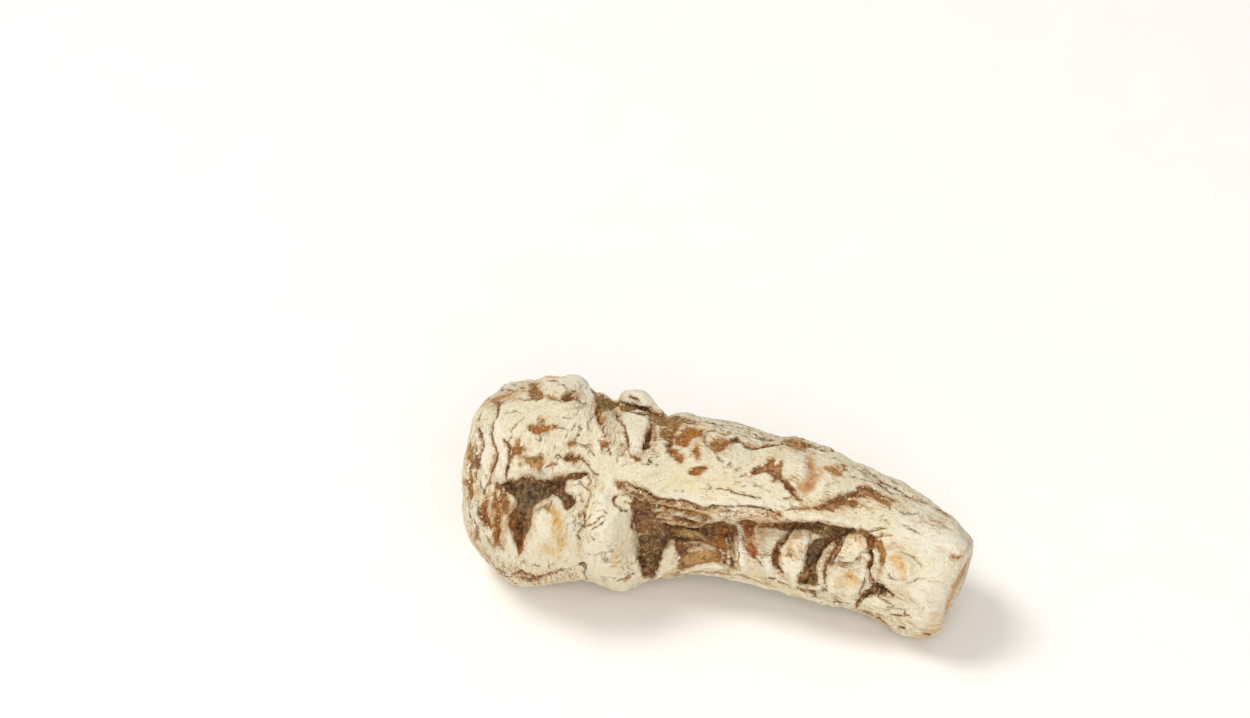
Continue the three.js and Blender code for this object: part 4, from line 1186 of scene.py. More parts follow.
class Shell:
    """A closed skin as numbers: its points and outward directions in millimetres, and its edges."""

    def __init__(self, mesh: bpy.types.Mesh) -> None:
        """Reads a mesh.

        Args:
            mesh: the closed mesh, in millimetres.
        """
        self.mesh = mesh
        self.count = len(mesh.vertices)
        self.points = self.read(mesh.vertices, "co")
        edges = np.empty(len(mesh.edges) * 2, np.int64)
        mesh.edges.foreach_get("vertices", edges)
        self.edges = edges.reshape(-1, 2)
        self.degree = np.bincount(edges, minlength=self.count).astype(float)
        self.normals = self.read(mesh.vertex_normals, "vector")

    def read(self, source: bpy.types.bpy_prop_collection, name: str) -> Array:
        """Reads three numbers for each point.

        Args:
            source: what holds them.
            name: what they are called there.

        Returns:
            n by 3 numbers.
        """
        numbers = np.empty(self.count * 3)
        source.foreach_get(name, numbers)
        return numbers.reshape(-1, 3)

    def spread(self, values: Array, times: int) -> Array:
        """Evens values out between neighbours.

        Args:
            values: one number or one row for each point.
            times: how often each point goes halfway to its neighbours' mean.

        Returns:
            The evened values.
        """
        near, far = self.edges.T
        rows = np.atleast_2d(values.T)
        for _ in range(times):
            sums = [
                np.bincount(near, row[far], self.count) + np.bincount(far, row[near], self.count)
                for row in rows
            ]
            rows = 0.5 * rows + 0.5 * np.array(sums) / self.degree
        return rows.T.reshape(values.shape)

    def facings(self, times: int) -> Array:
        """Outward directions with the small relief evened out."""
        even = self.spread(self.normals, times)
        return even / np.linalg.norm(even, axis=1, keepdims=True)

    def sunk(self, times: int, outward: Array) -> Array:
        """How deep each point lies below the skin round it, as that is once it has been evened out."""
        return ((self.spread(self.points, times) - self.points) * outward).sum(axis=1)

    def move(self, points: Array) -> None:
        """Puts the points elsewhere and reads the outward directions again.

        Args:
            points: where they go.
        """
        self.points = points
        self.mesh.vertices.foreach_set("co", points.ravel())
        self.mesh.update()
        self.normals = self.read(self.mesh.vertex_normals, "vector")

    def shift(self, shift: Array, give: float = 0.7) -> None:
        """Moves the points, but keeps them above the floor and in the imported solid's box.

        Args:
            shift: how far each point is to move.
            give: how far a point may stand out of the box.
        """
        points = self.points + shift
        low, high = np.array([list(corner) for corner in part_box(NODE)]) / MM
        out_high, out_low = np.maximum(points - high, 0.0), np.maximum(low - points, 0.0)
        points = np.clip(points, low, high)
        points += give * (np.exp(-out_low / give) - np.exp(-out_high / give))
        points[:, 2] = np.maximum(points[:, 2], 0.0)
        self.move(points)

    def keep(self, name: str, values: Array) -> None:
        """Stores values on the points, for the finish to read.

        Args:
            name: the attribute's name.
            values: one number, or a red, green and blue, for each point.
        """
        kind, key = ("FLOAT", "value") if values.ndim == 1 else ("FLOAT_COLOR", "color")
        if values.ndim > 1:
            values = np.column_stack([values, np.ones(self.count)])
        self.mesh.attributes.new(name, kind, "POINT").data.foreach_set(key, values.ravel())


def taken(piece: bpy.types.Object) -> bpy.types.Mesh:
    """Takes the mesh that a piece's modifiers make of it, and removes the piece.

    Args:
        piece: an object with modifiers.

    Returns:
        The plain mesh.
    """
    mesh = bpy.data.meshes.new_from_object(piece.evaluated_get(bpy.context.evaluated_depsgraph_get()))
    bpy.data.objects.remove(piece)
    return mesh


def even_mesh(mesh: bpy.types.Mesh, cell: float) -> bpy.types.Mesh:
    """Covers a closed mesh in even quads.

    Args:
        mesh: the closed mesh.
        cell: the quads' size.

    Returns:
        The new mesh.
    """
    piece = shown("blank", mesh)
    remesh = piece.modifiers.new("even", "REMESH")
    remesh.mode, remesh.voxel_size = "VOXEL", cell
    return taken(piece)


class Skin(Shell):
    """The root's skin, with its grain and what is drawn on it."""

    RINGED = (-15.0, -8.0)
    STATION_STEP = 3.0
    WAVES, WRINKLES, LEDGES, PEEL, RIM = 0.13, 0.08, 0.12, 0.4, 0.16

    def __init__(self, mesh: bpy.types.Mesh) -> None:
        """Reads the mesh and finds how it grew: its grain runs round the crown, and along the rest.

        Args:
            mesh: the closed mesh, in millimetres.
        """
        super().__init__(mesh)
        self.marks = Marks(GRAINS[2].layers(self.points, 1.1, 2))
        along = self.points[:, 0] + 2.0 * GRAINS[1].layers(self.points, 8.0, 2)
        self.ringed = 1.0 - ease(along, *self.RINGED)
        self.lie = self.straightened()

    def straightened(self) -> Array:
        """Where points lie in the root as it grew, straight: along it, and sideways from its core.

        Returns:
            n by 3 places, a little warped so that the grain wanders.
        """
        along = self.points[:, 0]
        stations = np.arange(-33.0, 34.0, self.STATION_STEP)
        near = np.abs(along - stations[:, None]) < self.STATION_STEP
        core = np.array([self.points[pick, 1:].mean(axis=0) for pick in near])
        sideways = [np.interp(along, stations, column) for column in core.T]
        warp = [grain.layers(self.points + 50.0, 7.0, 2) for grain in GRAINS[:3]]
        return self.points - np.column_stack([np.zeros(self.count), *sideways]) + np.column_stack(warp) * 1.2

    def flow(self, grain: Grain, size: float, long: float, count: int = 3, shift: float = 0.0) -> Array:
        """Random values drawn out along the root's grain.

        Args:
            grain: the random pattern.
            size: the spots' width in millimetres.
            long: how many times longer they are.
            count: how many layers.
            shift: moves the pattern.

        Returns:
            A value from about -1 to 1 for each point.
        """
        place = self.lie + shift
        along = grain.layers(place, (size * long, size, size), count)
        round_it = grain.layers(place + 70.0, (size, size * long, size * long), count)
        return along + (round_it - along) * self.ringed

    def craze(self) -> None:
        """Covers all sides but the tail in the fine cracks of dry cork, which follow the grain."""
        smooth = ease(self.points[:, 0], 22.0, 31.0) * 0.3
        for turn, (size, half) in enumerate(((2.6, 0.1), (1.5, 0.07), (1.0, 0.06))):
            wave = self.flow(GRAINS[turn], size, 4.0, 2, shift=31.0 * turn)
            here = ease(GRAINS[3].layers(self.points + 11.0 * turn, 3.5, 2) - smooth, 0.05, 0.5)
            self.marks.seam(np.arange(self.count), wave * size / 1.5, half * here - 0.02, 0.15)

    def weather(self, covered: Array) -> None:
        """Bares the bark in the hollows of the sides that no drawing covers, and splits the skin there.

        Args:
            covered: how fully the drawings cover each point.
        """
        marks = self.marks
        at = np.flatnonzero(covered < 0.5)
        points = self.points[at]
        sunk = self.sunk(60, self.facings(4))[at]
        bared = self.flow(GRAINS[2], 3.0, 2.2, shift=90.0)[at] + 1.6 * sunk - 0.85
        marks.bark[at] = np.maximum(marks.bark[at], 1.4 * bared)
        marks.sunk[at] = np.maximum(marks.sunk[at], 0.3 * ease(bared, -0.3, 0.2))
        for grain, hue in zip(GRAINS, (RUST, OLIVE, MAUVE, SOIL)):
            marks.tint(marks.bark_tint, at, hue, ease(grain.layers(points + 120.0, 3.6, 2), 0.1, 0.5))
        marks.wear[at] = np.maximum(marks.wear[at], ease(bared, -0.7, 0.0))
        for turn, (size, half) in enumerate(((6.0, 0.26), (3.6, 0.18))):
            wave = self.flow(GRAINS[3 - turn], size, 3.5, 2, shift=31.0 * turn)[at]
            here = ease(GRAINS[4].layers(points + 7.0 * turn, 6.0, 2) + sunk, 0.05, 0.5)
            marks.seam(at, wave * size / 1.5, half * here - 0.02, 0.4)

    def mark(self, pens: list[Pen]) -> None:
        """Draws bark, cracks and stains on the points.

        Args:
            pens: a pen for each drawing.
        """
        for pen in pens:
            for mark in pen.drawing.marks:
                mark.draw(pen, self.marks)
        self.weather(np.max([pen.weight for pen in pens], axis=0))
        self.craze()
        self.marks.bark += 0.45 * self.flow(GRAINS[4], 0.9, 2.5)

    def carve(self) -> None:
        """Gives the skin its fine relief, sinks the bark and cuts the cracks."""
        marks, brink = self.marks, self.marks.brink()
        waves = self.WAVES * GRAINS[3].layers(self.points, 3.0, 3)
        wrinkles = self.WRINKLES * self.flow(GRAINS[2], 1.1, 4.0)
        terraces = 5.0 * self.flow(GRAINS[0], 6.0, 2.0, 2)
        tread = terraces - np.floor(terraces)
        ledge = self.LEDGES * (ease(tread, 0.0, 0.18) - tread)
        bare = ease(marks.bark, -0.12, 0.14)
        grit = GRAINS[1].layers(self.points, 0.7, 2) * (0.03 + 0.05 * bare)
        groove = marks.seam_depth * (1.0 - ease(brink, -0.15, 0.12))
        peel, rim = (ease(gap, 0.0, 0.2) - ease(gap, 0.25, 1.0) for gap in (brink, -marks.bark))
        peel = peel * np.minimum(marks.seam_depth, 0.4) * self.PEEL
        lift = waves + wrinkles + ledge + grit + marks.proud + np.maximum(peel, rim * self.RIM)
        lift -= np.maximum(marks.sunk * bare, groove)
        self.shift(lift[:, None] * self.facings(2))

    def store(self) -> None:
        """Stores on the points what the finishes and the loose bits go by."""
        marks, brink = self.marks, self.marks.brink()
        patchy = ease(GRAINS[1].layers(self.points + 33.0, 2.2, 2), -0.5, 0.5)
        crumbly = np.maximum(ease(marks.bark, 0.0, 0.3), 1.0 - ease(brink, -0.1, 0.02)) * patchy
        by_crack = (1.0 - ease(np.abs(brink - 0.08), 0.0, 0.16)) * ease(marks.seam_half, 0.05, 0.12)
        by_bark = 1.0 - ease(np.abs(marks.bark + 0.06), 0.05, 0.3)
        above = ease(self.points[:, 2], 0.3, 0.8)
        for name, values in {
            "crumbly": crumbly * above,
            "flaky": np.maximum(by_bark, by_crack) * (0.2 + 0.8 * patchy) * above,
            "bark": np.clip(marks.bark, -1.0, 1.0),
            "bark_tint": marks.bark_tint,
            "skin_tint": marks.skin_tint,
            "seam_side": marks.seam_side,
            "seam_gap": np.abs(marks.seam_side),
            "seam_half": marks.seam_half,
            "wear": marks.wear,
            "lie": self.lie,
            "ringed": self.ringed,
            # hollow feeds the painted shade in small hollows and the painted highlights on bumps; shelter
            # feeds the painted shade on bark that lies deep.
            "hollow": np.clip(self.sunk(10, self.normals) / 0.12, -1.0, 1.0),
            "shelter": np.clip(self.sunk(60, self.facings(4)) / 0.6, -1.0, 1.0),
        }.items():
            self.keep(name, values)


@dataclass
class DongQuaiRoot:
    """The whole root: one closed skin, sculpted and marked on all its sides. Sizes in millimetres."""

    blank_cell: float = 0.42
    skin_cell: float = 0.29
    warp: float = 0.28
    fine_warp: float = 0.1
    web_place: Place = (-15.4, 8.9, 20.7)
    web_size: Place = (3.0, 2.3, 1.7)
    seen: tuple[float, float] = (0.02, 0.2)
    squarely_seen: tuple[float, float] = (0.1, 0.5)

    def blank(self) -> Shell:
        """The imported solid's skin in even quads, a little smoothed.

        Returns:
            The skin to sculpt.
        """
        work = bmesh.new()
        work.from_mesh(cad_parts[NODE].data)
        bmesh.ops.remove_doubles(work, verts=work.verts, dist=1e-7)
        bmesh.ops.scale(work, vec=(1 / MM,) * 3, verts=work.verts)
        web = Matrix.Translation(self.web_place) @ Matrix.Diagonal((*self.web_size, 1.0))
        bmesh.ops.create_icosphere(work, subdivisions=3, radius=1.0, matrix=web)
        solid = bpy.data.meshes.new("solid")
        work.to_mesh(solid)
        work.free()
        shell = Shell(even_mesh(solid, self.blank_cell))
        shell.move(shell.spread(shell.points, 3))
        return shell

    def wander(self, points: Array) -> Array:
        """How far drawn lines stray, so that no edge is smoother than a natural one.

        Args:
            points: n by 3 points.

        Returns:
            n by 2 shifts on the drawing plane.
        """
        coarse = [grain.layers(points, 2.4, 3) for grain in GRAINS[:2]]
        fine = [grain.layers(points, 0.8, 2) for grain in GRAINS[2:4]]
        return np.column_stack(coarse) * self.warp + np.column_stack(fine) * self.fine_warp

    def pens(self, shell: Shell, turns: int) -> list[Pen]:
        """Gets ready to draw on the skin from each side.

        A raised form rises towards the eye that drew it, so that it stays in its outline, and
        squarely off the skin where the skin turns away from that eye.

        Args:
            shell: the skin.
            turns: how often its outward directions are evened out, so that small walls count as
                facing the way of the skin round them.

        Returns:
            A pen for each drawing.
        """
        even, broad = shell.facings(4), shell.facings(turns)
        shift = self.wander(shell.points)
        pens = []
        for drawing in DRAWINGS:
            bearing = drawing.bearing
            place = bearing.place(shell.points) + drawing.stray * shift
            weight = ease(bearing.facing(shell.points, broad), *self.seen)
            turn = ease(bearing.facing(shell.points, even), *self.squarely_seen)[:, None]
            pens.append(Pen(drawing, place, weight, even + (bearing.back - even) * turn))
        return pens

    def build(self) -> bpy.types.Object:
        """Makes the root.

        Returns:
            The finished piece, in metres.
        """
        shell = self.blank()
        LOG.info("blank: %d points", shell.count)
        shift = np.zeros_like(shell.points)
        for pen in self.pens(shell, 20):
            for shape in pen.drawing.shapes:
                shape.push(pen, shift)
        shell.shift(shift)
        skin = Skin(even_mesh(shell.mesh, self.skin_cell))
        skin.mark(self.pens(skin, 40))
        skin.carve()
        skin.store()
        skin.mesh.transform(Matrix.Scale(MM, 4))
        skin.mesh.shade_smooth()
        LOG.info("skin: %d points", skin.count)
        return shown("root_skin", skin.mesh)




# ---- finishes ----


class Value:
    """A number in a node tree, which arithmetic works on."""

    def __init__(self, tree: Tree, link: Link) -> None:
        """Wraps the socket of a tree that gives the number."""
        self.tree = tree
        self.link = link

    def math(self, operation: str, *numbers: Value | float) -> Value:
        """A Math node on some numbers."""
        return self.tree.value("ShaderNodeMath", 0, dict(enumerate(numbers)), operation=operation)

    def __add__(self, other: Value | float) -> Value:
        """The sum."""
        return self.math("ADD", self, other)

    def __radd__(self, other: float) -> Value:
        """The sum, from the right."""
        return self.math("ADD", other, self)

    def __sub__(self, other: Value | float) -> Value:
        """The difference."""
        return self.math("SUBTRACT", self, other)

    def __rsub__(self, other: float) -> Value:
        """The difference, from the right."""
        return self.math("SUBTRACT", other, self)

    def __mul__(self, other: Value | float) -> Value:
        """The product."""
        return self.math("MULTIPLY", self, other)

    def __rmul__(self, other: float) -> Value:
        """The product, from the right."""
        return self.math("MULTIPLY", other, self)

    def __neg__(self) -> Value:
        """The number with the other sign."""
        return 0.0 - self

    def __abs__(self) -> Value:
        """The size without its sign."""
        return self.math("ABSOLUTE", self)

    def rise(self, low: float, high: float) -> Value:
        """A smooth rise from 0 at low to 1 at high."""
        sockets = {"Value": self, "From Min": low, "From Max": high}
        return self.tree.value("ShaderNodeMapRange", "Result", sockets, interpolation_type="SMOOTHSTEP")


class Tree:
    """A node tree under construction."""

    def __init__(self, tree: bpy.types.NodeTree) -> None:
        """Takes an empty tree."""
        self.tree = tree

    def node(
        self, kind: str, sockets: dict[str | int, Any] | None = None, **settings: Any
    ) -> bpy.types.NodeOutputs:
        """Adds a node.

        Args:
            kind: the node's type.
            sockets: values or links for its inputs, by number, identifier or name.
            settings: its settings, which are set first.

        Returns:
            The node's outputs.
        """
        node = self.tree.nodes.new(kind)
        for name, setting in settings.items():
            setattr(node, name, setting)
        for key, given in (sockets or {}).items():
            if isinstance(key, int):
                socket = node.inputs[key]
            else:
                socket = next(s for s in node.inputs if key in (s.identifier, s.name) and s.enabled)
            source = given.link if isinstance(given, Value) else given
            if isinstance(source, bpy.types.NodeSocket):
                self.tree.links.new(source, socket)
            else:
                socket.default_value = source
        return node.outputs

    def value(self, kind: str, output: str | int, sockets: dict[str | int, Any], **settings: Any) -> Value:
        """Adds a node, and gives the number at one of its outputs."""
        return Value(self, self.node(kind, sockets, **settings)[output])


class Paint(Tree):
    """A material under construction."""

    CLOUD_MIDDLE = 0.5
    CLOUD_STRENGTH = 3.2

    def __init__(self, name: str) -> None:
        """Starts an empty material.

        Args:
            name: its name.
        """
        self.material = bpy.data.materials.new(name)
        self.material.use_nodes = True
        super().__init__(self.material.node_tree)
        self.tree.nodes.clear()
        self.place = self.node("ShaderNodeTexCoord")["Object"]

    def number(self, name: str) -> Value:
        """A number stored on the skin."""
        return self.value("ShaderNodeAttribute", "Fac", {}, attribute_name=name)

    def tint(self, name: str) -> Link:
        """A colour stored on the skin."""
        return self.node("ShaderNodeAttribute", attribute_name=name)["Color"]

    def cloud(
        self, place: Link, scale: Sequence[float], detail: float, shift: float, keenness: float
    ) -> Value:
        """Random cloud around 0, from about -1 to 1.

        Args:
            place: the coordinates that it is drawn in.
            scale: how many of its largest spots there are in a unit, along each axis.
            detail: layers of finer spots.
            shift: moves the pattern, so that two clouds don't match.
            keenness: how strong the finer spots are.

        Returns:
            The cloud.
        """
        moved = self.node("ShaderNodeMapping", {"Vector": place, "Scale": scale, "Location": (shift,) * 3})[0]
        sockets = {"Vector": moved, "Scale": 1.0, "Detail": detail, "Roughness": keenness}
        return (self.value("ShaderNodeTexNoise", "Fac", sockets) - self.CLOUD_MIDDLE) * self.CLOUD_STRENGTH

    def grain(self, size: float, detail: float, shift: float = 0.0, keenness: float = 0.55) -> Value:
        """Cloud whose largest spots are as wide as size, in millimetres, and the same all ways."""
        return self.cloud(self.place, (1.0 / (size * MM),) * 3, detail, shift, keenness)

    def flow(self, size: float, detail: float, long: float, shift: float, keenness: float = 0.6) -> Value:
        """Cloud drawn out along the root's grain.

        Args:
            size: the width of its spots in millimetres.
            detail: layers of finer spots.
            long: how many times longer they are.
            shift: moves the pattern.
            keenness: how strong the finer spots are.

        Returns:
            The cloud.
        """
        across, along = 1 / size, 1 / (size * long)
        lengthways, round_it = (
            self.cloud(self.tint("lie"), scale, detail, shift, keenness)
            for scale in ((along, across, across), (across, along, along))
        )
        return lengthways + (round_it - lengthways) * self.number("ringed")

    def blend(self, base: Any, over: Any, share: Value, way: str = "MIX") -> Link:
        """Lays one colour over another.

        Args:
            base: the colour below: a socket, a hue or a fixed colour.
            over: the colour on top.
            share: how much of it shows.
            way: the Mix node's blend type.

        Returns:
            The mixed colour.
        """
        below, above = ((*c.linear, 1.0) if isinstance(c, Hue) else c for c in (base, over))
        sockets = {"Factor_Float": share, "A_Color": below, "B_Color": above}
        outputs = self.node("ShaderNodeMix", sockets, data_type="RGBA", blend_type=way)
        return next(socket for socket in outputs if socket.identifier == "Result_Color")

    def coats(self, base: Link, *coats: tuple[Hue, Value]) -> Link:
        """Lays coats of colour over a base.

        Args:
            base: the colour below.
            coats: each coat's colour, and how much of it shows.

        Returns:
            The mixed colour.
        """
        for hue, share in coats:
            base = self.blend(base, hue, share)
        return base

    def finish(self, colour: Link, **sockets: Any) -> bpy.types.Material:
        """Ends the material in a shader.

        Args:
            colour: its colour.
            sockets: the shader's other sockets, with _ for each space in their names.

        Returns:
            The material.
        """
        given = {name.replace("_", " "): value for name, value in sockets.items()}
        shader = self.node("ShaderNodeBsdfPrincipled", {"Base Color": colour, **given})
        self.node("ShaderNodeOutputMaterial", {"Surface": shader[0]})
        return self.material


class Bits(Enum):
    """The kinds of loose bits on the skin, by the names of their pieces and finishes."""

    CRUMBS = "bark_crumbs"
    SCALES = "cork_scales"


@dataclass(frozen=True)
class DrySkin:
    """Chalky cream cork with fine cracks, over brown fibrous bark in the hollows, with painted shade in the
    hollows and painted highlights on the bumps.
    """

    roughness: float = 0.88
    bark_roughness: float = 0.95
    gloss: float = 0.25
    dust: tuple[float, ...] = (0.76, 0.72, 0.64, 1.0)

    def skin(self, paint: Paint) -> Link:
        """The cork's colour, with painted shade in small hollows and painted highlights on bumps.

        Args:
            paint: the material.

        Returns:
            The colour.
        """
        hollow, wear = paint.number("hollow"), paint.number("wear")
        region = paint.grain(4.0, 5.0, 12.0, 0.65) * 0.6 + wear * 0.55
        mottle = paint.flow(0.6, 5.0, 2.2, 17.0, 0.75)
        streaks = paint.flow(0.45, 4.0, 5.0, 21.0, 0.65) + region
        hairs = paint.flow(0.2, 2.0, 7.0, 33.0)
        specks = paint.flow(0.22, 2.0, 4.5, 7.0) + wear * 0.25
        where = (paint.grain(4.0, 4.0, 9.0) + wear).rise(-0.3, 0.7)
        colour = paint.coats(
            paint.tint("skin_tint"),
            (CHALK, paint.grain(2.6, 4.0).rise(0.0, 0.7) * 0.5),
            (STRAW, paint.grain(5.0, 4.0, 3.0).rise(0.0, 0.9) * 0.7),
            # Painted shade: tan gathers in the small hollows. Painted highlight: chalk on the bumps, where
            # hollow is below 0.
            (TAN, (hollow + paint.grain(0.6, 3.0) * 0.4).rise(0.1, 1.2) * 0.7),
            (CHALK, (-hollow).rise(0.1, 0.8) * 0.5),
            (TAN, (mottle + region * 0.5).rise(0.15, 0.9) * 0.55),
            (TAN, streaks.rise(0.35, 0.9) * 0.7),
            (SIENNA, streaks.rise(0.85, 1.15) * 0.7),
            (BARK, (hairs + region * 0.5).rise(0.6, 0.85) * 0.65),
            (ASH, specks.rise(0.42, 0.7) * where * 0.7),
        )
        dust = 1.0 - paint.grain(0.2, 3.0, 5.0, 0.7).rise(-0.7, 0.7)
        return paint.blend(colour, self.dust, dust * 0.45, "MULTIPLY")

    def bark(self, paint: Paint) -> Link:
        """The bark's colour, painted darker as shade where it lies deep in a hollow.

        Args:
            paint: the material.

        Returns:
            The colour.
        """
        shelter = paint.number("shelter")
        # How deep the bark lies in a hollow: it darkens the bark there as painted shade and calms its
        # streaks.
        deep = shelter.rise(0.1, 0.7)
        streaks = paint.flow(0.35, 6.0, 4.0, 1.0, 0.75) * (1.0 - deep * 0.7)
        blots = paint.grain(1.0, 5.0, 8.0, 0.75)
        clouds = paint.grain(1.3, 4.0, 18.0, 0.7)
        grains = paint.grain(0.3, 3.0, 2.0, 0.75)
        clods = paint.grain(0.6, 3.0, 83.0, 0.65)
        islets = paint.flow(0.4, 4.0, 3.0, 41.0, 0.7) - shelter * 0.5
        return paint.coats(
            paint.tint("bark_tint"),
            (RUST, blots.rise(0.1, 0.5) * 0.5),
            (TAN, clouds.rise(0.05, 0.55) * 0.6),
            (HONEY, (blots * 0.6 - streaks).rise(0.0, 0.7) * 0.7),
            (SOIL, (streaks - clouds * 0.7).rise(0.0, 0.6) * 0.75),
            (PEAT, grains.rise(0.15, 0.6) * 0.6),
            (STRAW, (-grains).rise(0.25, 0.8) * 0.75),
            # Painted shade: the peat clods are stronger where the bark lies deep in a hollow.
            (PEAT, clods.rise(0.05, 0.4) * (deep * 0.5 + 0.3)),
            (TAN, (-clods).rise(0.0, 0.45) * 0.75),
            (STRAW, (-clods - grains * 0.4).rise(0.35, 0.7) * 0.6),
            (CREAM, islets.rise(0.4, 0.7) * 0.8),
        )

    def dress(self) -> bpy.types.Material:
        """Makes the skin's material.

        Returns:
            The material.
        """
        paint = Paint("dry_root_skin")
        wear, shelter, half = (paint.number(name) for name in ("wear", "shelter", "seam_half"))
        bark_tint = paint.tint("bark_tint")
        ragged = paint.flow(0.4, 6.0, 2.5, 4.0, 0.75)
        edge = paint.number("bark") + ragged * 0.75
        bare = edge.rise(-0.1, 0.16)
        breaks = paint.grain(0.9, 4.0, 6.0, 0.7)
        fine = paint.grain(0.35, 3.0, 71.0, 0.7)
        strayed = paint.number("seam_side") + paint.grain(0.8, 4.0, 13.0, 0.7) * 0.16 + fine * 0.05
        near = 1.0 - (paint.number("seam_gap") - half).rise(0.35, 0.6)
        core = half * (breaks + fine * 0.5).rise(-0.6, 0.6)
        seam = (1.0 - (abs(strayed) - core).rise(-0.08, 0.05)) * near * half.rise(0.0, 0.04)
        ragged_half = half + 0.06 + paint.grain(1.6, 3.0, 61.0) * 0.22 - ragged * 0.35
        fringe = (1.0 - (abs(strayed) - ragged_half).rise(-0.12, 0.2)) * near * half.rise(0.02, 0.22)
        rusty = paint.blend(RUST, TAN, breaks.rise(-0.3, 0.5) * 0.8)
        halo = (edge + paint.grain(0.8, 3.0, 15.0) * 0.4).rise(-0.7, 0.0)
        flecks = paint.grain(0.45, 3.0, 51.0, 0.7).rise(0.3, 0.6) * wear
        skin = paint.coats(self.skin(paint), (TAN, halo * 0.65), (RUST, flecks * 0.5))
        skin = paint.blend(skin, rusty, fringe * (fine.rise(-0.6, 0.3) * 0.6 + 0.4) * 0.9)
        bark = paint.blend(self.bark(paint), RUST, (1.0 - edge.rise(0.0, 0.55)) * bare * 0.75)
        dark = paint.blend(bark_tint, PEAT, (breaks + fine).rise(-0.5, 0.9) * 0.75)
        colour = paint.blend(paint.blend(skin, bark, bare), dark, seam * 0.9)
        # Painted shade: bare bark turns towards peat where it lies deep in a hollow.
        colour = paint.blend(colour, PEAT, shelter.rise(0.3, 1.0) * bare * 0.3)
        height = (
            paint.grain(0.9, 3.0) * 0.06
            + paint.flow(0.3, 3.0, 3.0, 21.0) * 0.08
            + paint.grain(0.55, 4.0, 5.0, 0.7) * 0.16
            + bare * (paint.grain(0.6, 4.0, 83.0, 0.65) * -0.16 - 0.1)
            - seam * 0.2
        )
        bump = paint.node("ShaderNodeBump", {"Strength": 1.0, "Distance": MM, "Height": height})["Normal"]
        roughness = self.roughness + bare * (self.bark_roughness - self.roughness)
        return paint.finish(colour, Roughness=roughness, Specular_IOR_Level=self.gloss, Normal=bump)

    def dress_bits(self, kind: Bits) -> bpy.types.Material:
        """Makes the material of the loose bits on the skin.

        Args:
            kind: crumbs of bark or scales of cork.

        Returns:
            The material.
        """
        paint = Paint(kind.value)
        if kind is Bits.SCALES:
            colour = self.skin(paint)
        else:
            each = paint.grain(0.6, 1.0, 27.0)
            shares = (-each).rise(0.0, 0.5) * 0.8, each.rise(0.1, 0.5) * 0.5
            colour = paint.coats(paint.tint("bark_tint"), *zip((SOIL, TAN), shares))
        return paint.finish(colour, Roughness=self.bark_roughness, Specular_IOR_Level=self.gloss)


# ---- the loose bits ----


@dataclass(frozen=True)
class Litter:
    """Loose bits that are strewn over the skin where a number on it says so. Sizes in millimetres."""

    kind: Bits
    where: str
    density: float
    smallest: Place
    largest: Place
    seed: int
    tilt: float = 0.4

    def tree(self) -> bpy.types.NodeTree:
        """Builds the nodes that strew the bits.

        Returns:
            The node group, with its sizes as inputs.
        """
        group = bpy.data.node_groups.new("strew", "GeometryNodeTree")
        for name, kind in {
            "Skin": "Geometry", "Where": "String", "Per Square Millimetre": "Float", "Smallest": "Vector",
            "Largest": "Vector", "Seed": "Int", "Finish": "Material",
        }.items():
            group.interface.new_socket(name=name, in_out="INPUT", socket_type=f"NodeSocket{kind}")
        group.interface.new_socket(name="Bits", in_out="OUTPUT", socket_type="NodeSocketGeometry")
        tree = Tree(group)
        given = tree.node("NodeGroupInput")
        seed = {"Seed": given["Seed"]}
        mask = tree.value(
            "GeometryNodeInputNamedAttribute", "Attribute", {"Name": given["Where"]}, data_type="FLOAT"
        )
        dense = mask * Value(tree, given["Per Square Millimetre"]) * MM**-2
        points = tree.node(
            "GeometryNodeDistributePointsOnFaces", {"Mesh": given["Skin"], "Density": dense, **seed}
        )
        bit = tree.node("GeometryNodeMeshIcoSphere", {"Radius": MM, "Subdivisions": 1})["Mesh"]
        size, spin = (
            tree.node("FunctionNodeRandomValue", {"Min": low, "Max": high, **seed}, data_type="FLOAT_VECTOR")
            for low, high in (
                (given["Smallest"], given["Largest"]),
                ((-self.tilt, -self.tilt, 0.0), (self.tilt, self.tilt, math.tau)),
            )
        )
        turned = tree.node(
            "FunctionNodeRotateRotation",
            {"Rotation": points["Rotation"], "Rotate By": spin["Value"]},
            rotation_space="LOCAL",
        )["Rotation"]
        strewn = tree.node(
            "GeometryNodeInstanceOnPoints",
            {"Points": points["Points"], "Instance": bit, "Rotation": turned, "Scale": size["Value"]},
        )["Instances"]
        real = tree.node("GeometryNodeRealizeInstances", {"Geometry": strewn})["Geometry"]
        dressed = tree.node("GeometryNodeSetMaterial", {"Geometry": real, "Material": given["Finish"]})
        tree.node("NodeGroupOutput", {"Bits": dressed["Geometry"]})
        return group

    def build(self, skin: bpy.types.Object) -> bpy.types.Object:
        """Strews the bits.

        Args:
            skin: the finished skin.

        Returns:
            The bits as one piece.
        """
        piece = shown("strewn", skin.data)
        strew = piece.modifiers.new("strew", "NODES")
        strew.node_group = self.tree()
        given = {
            "Where": self.where,
            "Per Square Millimetre": self.density,
            "Smallest": self.smallest,
            "Largest": self.largest,
            "Seed": self.seed,
            "Finish": DrySkin().dress_bits(self.kind),
        }
        for item in strew.node_group.interface.items_tree:
            if item.name in given:
                strew[item.identifier] = given[item.name]
        return shown(self.kind.value, taken(piece))


# ---- the studio ----


@dataclass(frozen=True)
class Lamp:
    """A soft light that shines at the root. place and width are in metres, power in watts."""

    name: str
    place: Place
    width: float
    power: float
    colour: Place

    def hang(self) -> None:
        """Hangs the light."""
        light = bpy.data.lights.new(self.name, "AREA")
        light.size, light.energy, light.color = self.width, self.power, self.colour
        piece = shown(self.name, light)
        piece.location = self.place
        piece.rotation_euler = Vector(self.place).to_track_quat("Z", "Y").to_euler()


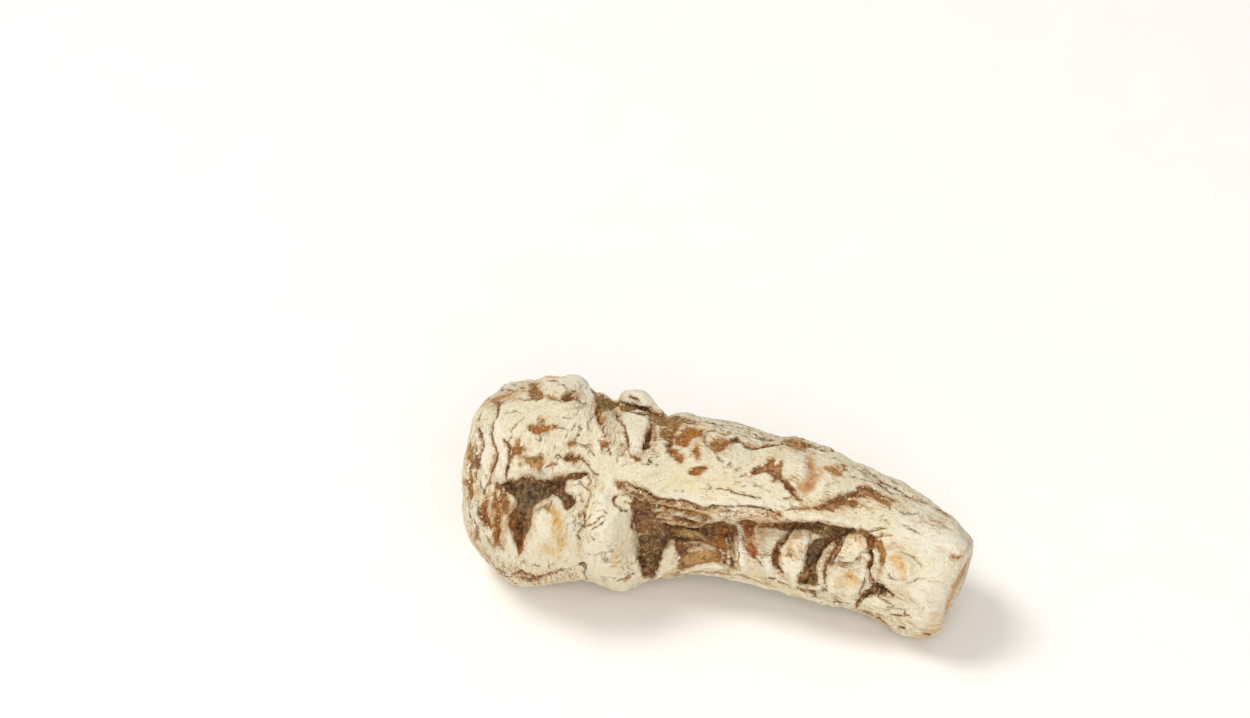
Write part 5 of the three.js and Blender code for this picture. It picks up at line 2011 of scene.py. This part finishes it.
@dataclass(frozen=True)
class Studio:
    """A pale floor under soft light, and the camera. Sizes in metres."""

    floor_width: float = 3.0
    floor_tones: tuple[tuple[float, ...], ...] = ((0.94, 0.915, 0.885, 1.0), (0.92, 0.895, 0.865, 1.0))
    floor_roughness: float = 0.7
    floor_gloss: float = 0.2
    daylight: tuple[float, ...] = (1.0, 0.99, 0.97, 1.0)
    brightness: float = 0.5
    lamps: tuple[Lamp, ...] = (
        Lamp("window", (-0.45, -0.05, 0.8), 0.4, 4.6, (1.0, 0.98, 0.94)),
        Lamp("fill", (0.35, -0.75, 0.55), 0.7, 5.0, (1.0, 0.98, 0.96)),
    )
    lens: float = 135.0

    def floor(self) -> bpy.types.Object:
        """The floor.

        Returns:
            Its object.
        """
        half = self.floor_width / 2
        corners = [(-half, -half, 0), (half, -half, 0), (half, half, 0), (-half, half, 0)]
        mesh = bpy.data.meshes.new("floor")
        mesh.from_pydata(corners, [], [(0, 1, 2, 3)])
        paint = Paint("pale_floor")
        tone = paint.blend(*self.floor_tones, paint.grain(9.0, 3.0).rise(-1.0, 1.0))
        mesh.materials.append(
            paint.finish(tone, Roughness=self.floor_roughness, Specular_IOR_Level=self.floor_gloss)
        )
        return shown("floor", mesh)

    def camera(self) -> None:
        """Stands the camera where the front is drawn from."""
        eye = bpy.data.cameras.new("camera")
        eye.lens, eye.clip_start = self.lens, 0.01
        piece = shown("camera", eye)
        turn = Matrix((FRONT.right, FRONT.up, FRONT.back)).transposed().to_4x4()
        piece.matrix_world = Matrix.Translation(Vector(FRONT.eye) * MM) @ turn
        bpy.context.scene.camera = piece

    def build(self) -> bpy.types.Object:
        """Sets everything up.

        Returns:
            The floor.
        """
        world = bpy.data.worlds.new("daylight")
        world.use_nodes = True
        sky = world.node_tree.nodes["Background"].inputs
        sky["Color"].default_value, sky["Strength"].default_value = self.daylight, self.brightness
        bpy.context.scene.world = world
        bpy.context.scene.view_settings.view_transform = "Standard"
        for lamp in self.lamps:
            lamp.hang()
        self.camera()
        return self.floor()


def main() -> None:
    """Builds the root and the studio round it."""
    Studio().build()
    LOG.info("studio")
    skin = DongQuaiRoot().build()
    skin.data.materials.append(DrySkin().dress())
    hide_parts(NODE)
    crumbs = Litter(Bits.CRUMBS, "crumbly", 3.0, (0.05, 0.05, 0.04), (0.15, 0.12, 0.08), seed=5)
    scales = Litter(Bits.SCALES, "flaky", 1.8, (0.08, 0.06, 0.02), (0.3, 0.18, 0.05), seed=7)
    for piece in (skin, crumbs.build(skin), scales.build(skin)):
        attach(piece, BODY)
        LOG.info("%s: %d faces", piece.name, len(piece.data.polygons))


if __name__ == "__main__":
    logging.basicConfig(level=logging.INFO, format="%(name)s: %(message)s")
    main()
